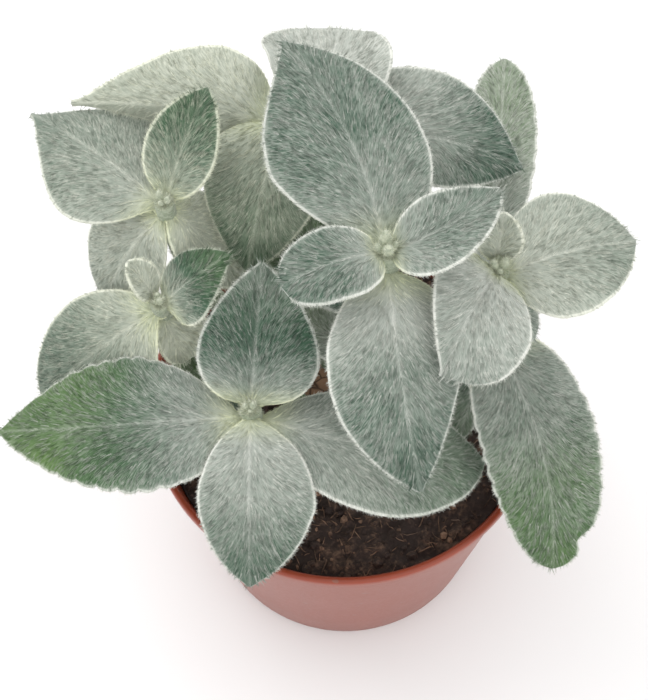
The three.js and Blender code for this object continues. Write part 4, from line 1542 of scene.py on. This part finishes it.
def plastic_finish(settings):
    """Satin terracotta plastic: a wall with faint pale clouds of painted reflection, vertical streaks that
    are partly relief and partly painted highlight, a few dark specks, and a plain lip.
    """
    finish = Finish("terracotta_plastic")
    _, _, height = finish.parts(finish.node("ShaderNodeTexCoord", None, None, "Object"))
    cloud = finish.noise(finish.place(), scale=22.0, detail=3.0, roughness=0.55)
    grain = finish.noise(finish.place(), scale=900.0, detail=2.0, roughness=0.6)
    # Vertical streaks: a faint relief in the normal, and painted highlights where they lighten the colour
    streaks_and_highlights = finish.noise(finish.place((1, 1, 0.06)), scale=160.0, detail=2.0, roughness=0.5)
    dots = finish.noise(finish.place(), scale=330.0, detail=1.0, roughness=0.5)
    specks = finish.step(dots, low=0.72, high=0.76)
    lip_foot = POT_HEIGHT - LIP_HEIGHT
    lip = finish.step(height, (lip_foot - LIP_FADE) * MM, (lip_foot + LIP_FADE) * MM)
    # Painted reflection: faint pale pink clouds mixed into the wall's colour stand in for the bright room
    # seen in its gloss; the lip gets none
    painted_reflection = (0.01 + (cloud - 0.5) * 0.12) * (1 - lip)
    plain = finish.mix(settings.plastic_colour, settings.lip_colour, lip)
    wall = finish.mix(plain, PAINTED_REFLECTION_PINK, finish.clear(painted_reflection))
    specked = finish.mix(wall, SPECK_COLOUR, specks * 0.5)
    return finish.surface(
        # the streaks lighten and darken the colour as painted highlights
        Base_Color=finish.shade(specked, 0.94 + streaks_and_highlights * 0.12),
        Roughness=settings.roughness + (cloud - 0.5) * 0.14 + (grain - 0.5) * 0.1,
        Normal=finish.relief(grain * 0.5 + streaks_and_highlights * 0.5, 0.12, PLASTIC_RELIEF),
        Specular_IOR_Level=0.5,
    )


DRAIN_FACETS = 32
SHARP_ANGLE = 40


class EDELWEISS_OT_pot(bpy.types.Operator):
    """Make the thin nursery pot, with its rounded lip and drainage holes"""

    bl_idname = "edelweiss.pot"
    bl_label = "Pot"

    def execute(self, context):
        settings = context.scene.edelweiss_pot
        body = Body()
        body.add(*lathe(pot_profile(), settings.facets))
        pot = body.build("nursery_pot", [plastic_finish(settings)])
        drills = Body()
        for k in range(DRAIN_COUNT):
            angle = 2 * math.pi * (k + 0.5) / DRAIN_COUNT
            x, y = DRAIN_CIRCLE * math.cos(angle), DRAIN_CIRCLE * math.sin(angle)
            drills.add(*cylinder(x, y, DRAIN_RADIUS, -POT_FLOOR, 2 * POT_FLOOR, DRAIN_FACETS))
        drill = drills.build("drain_drills", [])
        cut = pot.modifiers.new("drains", "BOOLEAN")
        cut.object = drill
        cut.operation = "DIFFERENCE"
        cut.solver = "EXACT"
        evaluated = pot.evaluated_get(context.evaluated_depsgraph_get())
        drilled = bpy.data.meshes.new_from_object(evaluated)
        pot.modifiers.clear()
        pot.data = drilled
        bpy.data.objects.remove(drill)
        drilled.shade_smooth()
        drilled.set_sharp_from_angle(angle=math.radians(SHARP_ANGLE))
        place(pot, "pot_plastic", "pot")
        return {"FINISHED"}


def soil_height(x, y):
    """Height of the soil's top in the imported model: a low mound with shallow bumps."""
    out = np.hypot(x, y) / wall_radius(SOIL_EDGE_HEIGHT)
    bump = np.sin(x * 0.31 + y * 0.13) * np.cos(y * 0.27 - x * 0.11)
    return SOIL_EDGE_HEIGHT + SOIL_MOUND * (1 - out**2) + SOIL_BUMP * bump * (1 - out**6)


SOIL_RINGS = 70
SOIL_AROUND = 250
RING_CROWDING = 0.8
SOIL_SEED = 41
# Size and height in mm of the lumps in the soil's top, and how deep the whole top then sits
COARSE_LUMPS = (4.6, 1.5)
MIDDLING_LUMPS = (1.9, 0.9)
FINE_LUMPS = (0.8, 0.3)
LUMPS_SINK = 0.9


def soil_grain(x, y):
    """How far single lumps of peat stand out of the soil's top."""
    flat = np.stack([x, y], axis=-1)
    coarse, middling, fine = (
        lumps(flat, size, SOIL_SEED + number) * height
        for number, (size, height) in enumerate((COARSE_LUMPS, MIDDLING_LUMPS, FINE_LUMPS))
    )
    return np.abs(coarse) + np.abs(middling) + fine - LUMPS_SINK


PEAT_RELIEF = 0.0006


def soil_finish(settings):
    """Peat: near-black where the top sits low, browner on raised lumps and on crumbs, pale fibres."""
    finish = Finish("damp_peat")
    strand = finish.own("strand", "Fac")
    wet = finish.noise(finish.place(), scale=60.0, detail=3.0, roughness=0.6)
    grain = finish.noise(finish.place(), scale=700.0, detail=3.0, roughness=0.65)
    shown = strand * 0.75 + (wet - 0.5) * 0.5 + (grain - 0.5) * 0.7
    pale_share = finish.step(shown, low=0.1, high=0.8)
    colour = finish.mix(settings.peat_colour, settings.crumb_colour, pale_share)
    straw = finish.step(strand, low=0.93, high=1.0)
    colour = finish.mix(colour, settings.straw_colour, straw * 0.85)
    return finish.surface(
        Base_Color=finish.shade(colour, 0.6 + grain * 0.8),
        Roughness=0.82 + (wet - 0.5) * 0.3,
        Normal=finish.relief(grain, 0.8, PEAT_RELIEF),
        Specular_IOR_Level=0.35,
    )


ICO_TALL = (1 + math.sqrt(5)) / 2
ICO_POINTS = unit(
    np.array(
        [(-1, ICO_TALL, 0), (1, ICO_TALL, 0), (-1, -ICO_TALL, 0), (1, -ICO_TALL, 0),
         (0, -1, ICO_TALL), (0, 1, ICO_TALL), (0, -1, -ICO_TALL), (0, 1, -ICO_TALL),
         (ICO_TALL, 0, -1), (ICO_TALL, 0, 1), (-ICO_TALL, 0, -1), (-ICO_TALL, 0, 1)]
    )
)
ICO_FACES = np.array(
    [(0, 11, 5), (0, 5, 1), (0, 1, 7), (0, 7, 10), (0, 10, 11), (1, 5, 9), (5, 11, 4), (11, 10, 2),
     (10, 7, 6), (7, 1, 8), (3, 9, 4), (3, 4, 2), (3, 2, 6), (3, 6, 8), (3, 8, 9), (4, 9, 5),
     (2, 4, 11), (6, 2, 10), (8, 6, 7), (9, 8, 1)]
)


def add_crumbs(body, centres, sizes, tones, rng):
    """Rough lumps: twelve-cornered, squashed and dented, each turned its own way."""
    number = len(centres)
    corners = len(ICO_POINTS)
    dents = rng.uniform(0.6, 1.25, (number, corners, 1))
    squash = rng.uniform(0.5, 1.0, (number, 1, 3))
    turns, _ = np.linalg.qr(rng.normal(size=(number, 3, 3)))
    turns = turns * np.sign(np.linalg.det(turns))[:, None, None]
    shapes = (ICO_POINTS * dents * squash) @ turns.transpose(0, 2, 1)
    points = centres[:, None] + shapes * sizes[:, None, None]
    faces = (np.arange(number)[:, None, None] * corners + ICO_FACES).reshape(-1, 3)
    body.add(points, faces, smooth=False, strand=np.repeat(tones, corners))


# Share of a fibre's thickness at each point along it
FIBRE_SHAPE = np.array([0.6, 1, 1, 0.9, 0.5])
FIBRE_STEPS = len(FIBRE_SHAPE)
FIBRE_BEND = 0.16
FIBRE_REST = 0.35
FIBRE_LIFT = 0.5
WALL_CLEARANCE = 1.2


def add_fibre(body, start, heading, length, width, tone, rng):
    """A bent thread of three sides lying on the soil."""
    steps = np.arange(FIBRE_STEPS)
    headings = heading + np.cumsum(rng.normal(0, FIBRE_BEND, FIBRE_STEPS))
    step = length / FIBRE_STEPS
    x = start[0] + np.cumsum(np.cos(headings)) * step
    y = start[1] + np.cumsum(np.sin(headings)) * step
    reach = np.hypot(x, y)
    limit = wall_radius(SOIL_EDGE_HEIGHT) - POT_WALL - WALL_CLEARANCE
    inward = np.minimum(1, limit / np.maximum(reach, 1e-6))
    x, y = x * inward, y * inward
    rise = FIBRE_REST + FIBRE_LIFT * np.sin(steps / (FIBRE_STEPS - 1) * math.pi) * rng.uniform(0, 1.4)
    z = soil_height(x, y) + soil_grain(x, y) + rise
    path = np.stack([x, y, z], axis=-1)
    ways = unit(np.gradient(path, axis=0))
    rings, _ = tube_rings(path, ways, width / 2 * FIBRE_SHAPE, 3)
    quads, _, _ = tube_faces(FIBRE_STEPS, 3)
    last = (FIBRE_STEPS - 1) * 3
    caps = np.array([[2, 1, 0], [last, last + 1, last + 2]])
    body.add(rings, [quads, caps], strand=tone)


# Radii in mm of small to large crumbs, and the share of each; how far they sink; and the fibres' sizes
CRUMB_SIZES = (0.5, 0.95, 1.5, 2.2)
CRUMB_SHARES = (0.42, 0.33, 0.18, 0.07)
CRUMB_SEAT = 0.25
FIBRE_LENGTHS = (1.5, 6)
FIBRE_WIDTHS = (0.2, 0.45)
FIBRE_INSET = 2
PALE_FIBRES = 0.06


class EDELWEISS_OT_soil(bpy.types.Operator):
    """Fill the pot with peat: a lumpy top, loose crumbs and fibres"""

    bl_idname = "edelweiss.soil"
    bl_label = "Soil"

    def execute(self, context):
        settings = context.scene.edelweiss_soil
        rng = np.random.default_rng(SOIL_SEED)
        body = Body()
        inset = POT_WALL + SEAT_GAP
        edge = wall_radius(SOIL_EDGE_HEIGHT) - inset
        foot = POT_FLOOR + SEAT_GAP
        radii = edge * np.linspace(1, 0, SOIL_RINGS, endpoint=False) ** RING_CROWDING
        lower = [(wall_radius(z) - inset, z) for z in (foot, *WALL_STEPS)]
        profile = [(0, foot), *lower, *((r, SOIL_EDGE_HEIGHT) for r in radii), (0, SOIL_EDGE_HEIGHT)]
        points, faces = lathe(profile, SOIL_AROUND)
        top = points[:, 2] > SOIL_EDGE_HEIGHT - 1
        x, y = points[top, 0], points[top, 1]
        grain = soil_grain(x, y)
        points[top, 2] = soil_height(x, y) + grain
        strand = np.full(len(points), 0.2)
        # Raised lumps get a higher strand value, so the soil's top is paler on them and darker in the low
        # places between them
        strand[top] = np.clip(0.25 + grain * 0.2, 0, 0.85)
        body.add(points, faces, strand=strand)
        angle = rng.uniform(0, 2 * math.pi, settings.crumbs)
        reach = (edge - WALL_CLEARANCE) * np.sqrt(rng.uniform(0, 1, settings.crumbs))
        x, y = reach * np.cos(angle), reach * np.sin(angle)
        sizes = rng.choice(CRUMB_SIZES, settings.crumbs, p=CRUMB_SHARES)
        sizes = sizes * rng.uniform(0.8, 1.2, settings.crumbs)
        z = soil_height(x, y) + soil_grain(x, y) + sizes * CRUMB_SEAT
        tones = rng.beta(1.3, 2.2, settings.crumbs) * 0.9
        add_crumbs(body, np.stack([x, y, z], axis=-1), sizes, tones, rng)
        for _ in range(settings.fibres):
            angle = rng.uniform(0, 2 * math.pi)
            reach = (edge - FIBRE_INSET) * math.sqrt(rng.uniform(0, 1))
            start = (reach * math.cos(angle), reach * math.sin(angle))
            pale = rng.uniform() < PALE_FIBRES
            tone = rng.uniform(0.95, 1.0) if pale else rng.uniform(0.3, 0.95)
            length = rng.uniform(*FIBRE_LENGTHS)
            width = rng.uniform(*FIBRE_WIDTHS)
            add_fibre(body, start, rng.uniform(0, 2 * math.pi), length, width, tone, rng)
        place(body.build("potting_peat", [soil_finish(settings)]), "soil", "soil")
        return {"FINISHED"}


TUBER_AROUND = 96
TUBER_ROWS = 48
BARK_SEED = 71
# Size and height in mm of the swellings and knobs of the bark, and how deep the whole skin then sits
BARK_SWELLINGS = (6, 0.5)
BARK_KNOBS = (2.4, 0.5)
BARK_SINK = 0.3
PALE_BARK = (0.33, 0.2, 0.12)
DARK_BARK = (0.16, 0.085, 0.05)
CRACK_COLOUR = (0.07, 0.04, 0.025)
BARK_RELIEF = 0.0008


def bark_finish():
    """Dull brown tuber skin with dark cracks."""
    finish = Finish("tuber_bark")
    cracks = finish.node(
        "ShaderNodeTexVoronoi", {"feature": "DISTANCE_TO_EDGE"},
        {"Vector": finish.place((1, 1, 0.6)), "Scale": 260.0},
    )
    cloud = finish.noise(finish.place(), scale=120.0, detail=4.0, roughness=0.6)
    colour = finish.mix(DARK_BARK, PALE_BARK, cloud)
    colour = finish.mix(CRACK_COLOUR, colour, finish.step(cracks, low=0.0, high=0.12))
    return finish.surface(
        Base_Color=colour,
        Roughness=0.8 + (cloud - 0.5) * 0.2,
        Normal=finish.relief(cracks + cloud * 0.4, 0.7, BARK_RELIEF),
        Specular_IOR_Level=0.3,
    )


class EDELWEISS_OT_tuber(bpy.types.Operator):
    """Make the squat tuber that the stems rise from"""

    bl_idname = "edelweiss.tuber"
    bl_label = "Tuber"

    def execute(self, context):
        angles = np.radians(np.linspace(-90, 90, TUBER_ROWS + 1))
        profile = [(TUBER_RADIUS * math.cos(x), TUBER_RADIUS * math.sin(x)) for x in angles]
        points, faces = lathe(profile, TUBER_AROUND)
        rays = unit(points)
        swellings = lumps(points, BARK_SWELLINGS[0], BARK_SEED) * BARK_SWELLINGS[1]
        knobs = np.abs(lumps(points, BARK_KNOBS[0], BARK_SEED + 1)) * BARK_KNOBS[1]
        rough = swellings + knobs - BARK_SINK
        points = (points + rays * rough[:, None]) * (1, 1, TUBER_SQUASH) + TUBER_CENTRE
        body = Body()
        body.add(points, faces)
        place(body.build("knobbly_tuber", [bark_finish()]), "tuber_skin", "tuber")
        return {"FINISHED"}


# In metres: half the floor's width, what the lamps aim at, and each lamp's place and width
FLOOR_HALF = 2.0
PLANT_HEART = (0, 0, 0.13)
KEY_PLACE = (-0.45, 0.35, 0.95)
KEY_WIDTH = 0.7
FILL_PLACE = (0.6, -0.7, 0.6)
FILL_WIDTH = 0.8
FLOOR_SHADE = 0.985


def softbox(name, spot, width, power):
    """A large square lamp at this spot, aimed at the heart of the plant."""
    data = bpy.data.lights.new(name, "AREA")
    data.shape = "SQUARE"
    data.size = width
    data.energy = power
    lamp = bpy.data.objects.new(name, data)
    lamp.location = spot
    lamp.rotation_mode = "QUATERNION"
    lamp.rotation_quaternion = (Vector(PLANT_HEART) - lamp.location).to_track_quat("-Z", "Y")
    bpy.context.scene.collection.objects.link(lamp)


def camera_above():
    """A camera at the photograph's angle, distance and framing."""
    rise, roll = math.radians(CAMERA_ELEVATION), math.radians(CAMERA_ROLL)
    ahead = Vector((0, math.cos(rise), -math.sin(rise)))
    level, upward = Vector((1, 0, 0)), Vector((0, math.sin(rise), math.cos(rise)))
    right = level * math.cos(roll) + upward * math.sin(roll)
    up = upward * math.cos(roll) - level * math.sin(roll)
    aside = (RIM_CENTRE_PX[0] - PHOTO_WIDTH_PX / 2) / FOCAL_PX
    above = (PHOTO_HEIGHT_PX / 2 - RIM_CENTRE_PX[1]) / FOCAL_PX
    rim = Vector((0, 0, POT_HEIGHT * MM))
    data = bpy.data.cameras.new("camera")
    data.sensor_width = SENSOR
    data.lens = FOCAL_PX * SENSOR / PHOTO_HEIGHT_PX
    camera = bpy.data.objects.new("camera", data)
    turn = Matrix((right, up, -ahead)).transposed().to_4x4()
    spot = rim - (ahead + right * aside + up * above) * CAMERA_DISTANCE
    camera.matrix_world = Matrix.Translation(spot) @ turn
    bpy.context.scene.collection.objects.link(camera)
    bpy.context.scene.camera = camera


class EDELWEISS_OT_studio(bpy.types.Operator):
    """Set up the pale floor, the soft lights and the camera"""

    bl_idname = "edelweiss.studio"
    bl_label = "Studio"

    def execute(self, context):
        settings = context.scene.edelweiss_studio
        camera_above()
        finish = Finish("pale_floor")
        cloud = finish.noise(finish.place(), scale=9.0, detail=3.0, roughness=0.5)
        tint = tuple(settings.floor_colour)
        colour = finish.mix(tint, [FLOOR_SHADE * x for x in tint], cloud)
        floor_material = finish.surface(Base_Color=colour, Roughness=0.9, Specular_IOR_Level=0.2)
        mesh = bpy.data.meshes.new("floor")
        corners = [(x * FLOOR_HALF, y * FLOOR_HALF, 0) for x, y in ((-1, -1), (1, -1), (1, 1), (-1, 1))]
        mesh.from_pydata(corners, [], [(0, 1, 2, 3)])
        mesh.materials.append(floor_material)
        floor = bpy.data.objects.new("floor", mesh)
        context.scene.collection.objects.link(floor)
        world = bpy.data.worlds.new("studio_sky")
        world.use_nodes = True
        sky = world.node_tree.nodes["Background"]
        sky.inputs["Color"].default_value = (1, 1, 1, 1)
        sky.inputs["Strength"].default_value = settings.sky_strength
        context.scene.world = world
        softbox("key_light", KEY_PLACE, KEY_WIDTH, settings.key_power)
        softbox("fill_light", FILL_PLACE, FILL_WIDTH, settings.fill_power)
        context.scene.view_settings.view_transform = "Standard"
        context.scene.view_settings.look = "None"
        return {"FINISHED"}


GROUPS = {
    "edelweiss_wool": WoolSettings,
    "edelweiss_pot": PotSettings,
    "edelweiss_soil": SoilSettings,
    "edelweiss_studio": StudioSettings,
}
STEPS = ("studio", "pot", "soil", "tuber", "stems", "buds", "leaves")


class EDELWEISS_PT_panel(bpy.types.Panel):
    """Lists the pieces of the plant and their settings."""

    bl_idname = "EDELWEISS_PT_panel"
    bl_label = "Potted edelweiss"
    bl_space_type = "VIEW_3D"
    bl_region_type = "UI"
    bl_category = "Edelweiss"

    def draw(self, context):
        for step in STEPS:
            self.layout.operator("edelweiss." + step)
        for group in GROUPS:
            settings = getattr(context.scene, group)
            box = self.layout.box()
            for name in settings.bl_rna.properties.keys():
                if name not in ("rna_type", "name"):
                    box.prop(settings, name)


CLASSES = (
    *GROUPS.values(),
    EDELWEISS_OT_studio,
    EDELWEISS_OT_pot,
    EDELWEISS_OT_soil,
    EDELWEISS_OT_tuber,
    EDELWEISS_OT_stems,
    EDELWEISS_OT_buds,
    EDELWEISS_OT_leaves,
    EDELWEISS_PT_panel,
)


def register():
    """Registers the classes and hangs the settings on the scene."""
    for item in CLASSES:
        bpy.utils.register_class(item)
    for name, group in GROUPS.items():
        setattr(bpy.types.Scene, name, bpy.props.PointerProperty(type=group))


def unregister():
    """Takes the settings and classes away again."""
    for name in GROUPS:
        delattr(bpy.types.Scene, name)
    for item in reversed(CLASSES):
        bpy.utils.unregister_class(item)


def main():
    """Builds everything."""
    register()
    for step in STEPS:
        getattr(bpy.ops.edelweiss, step)()


if __name__ == "__main__":
    main()
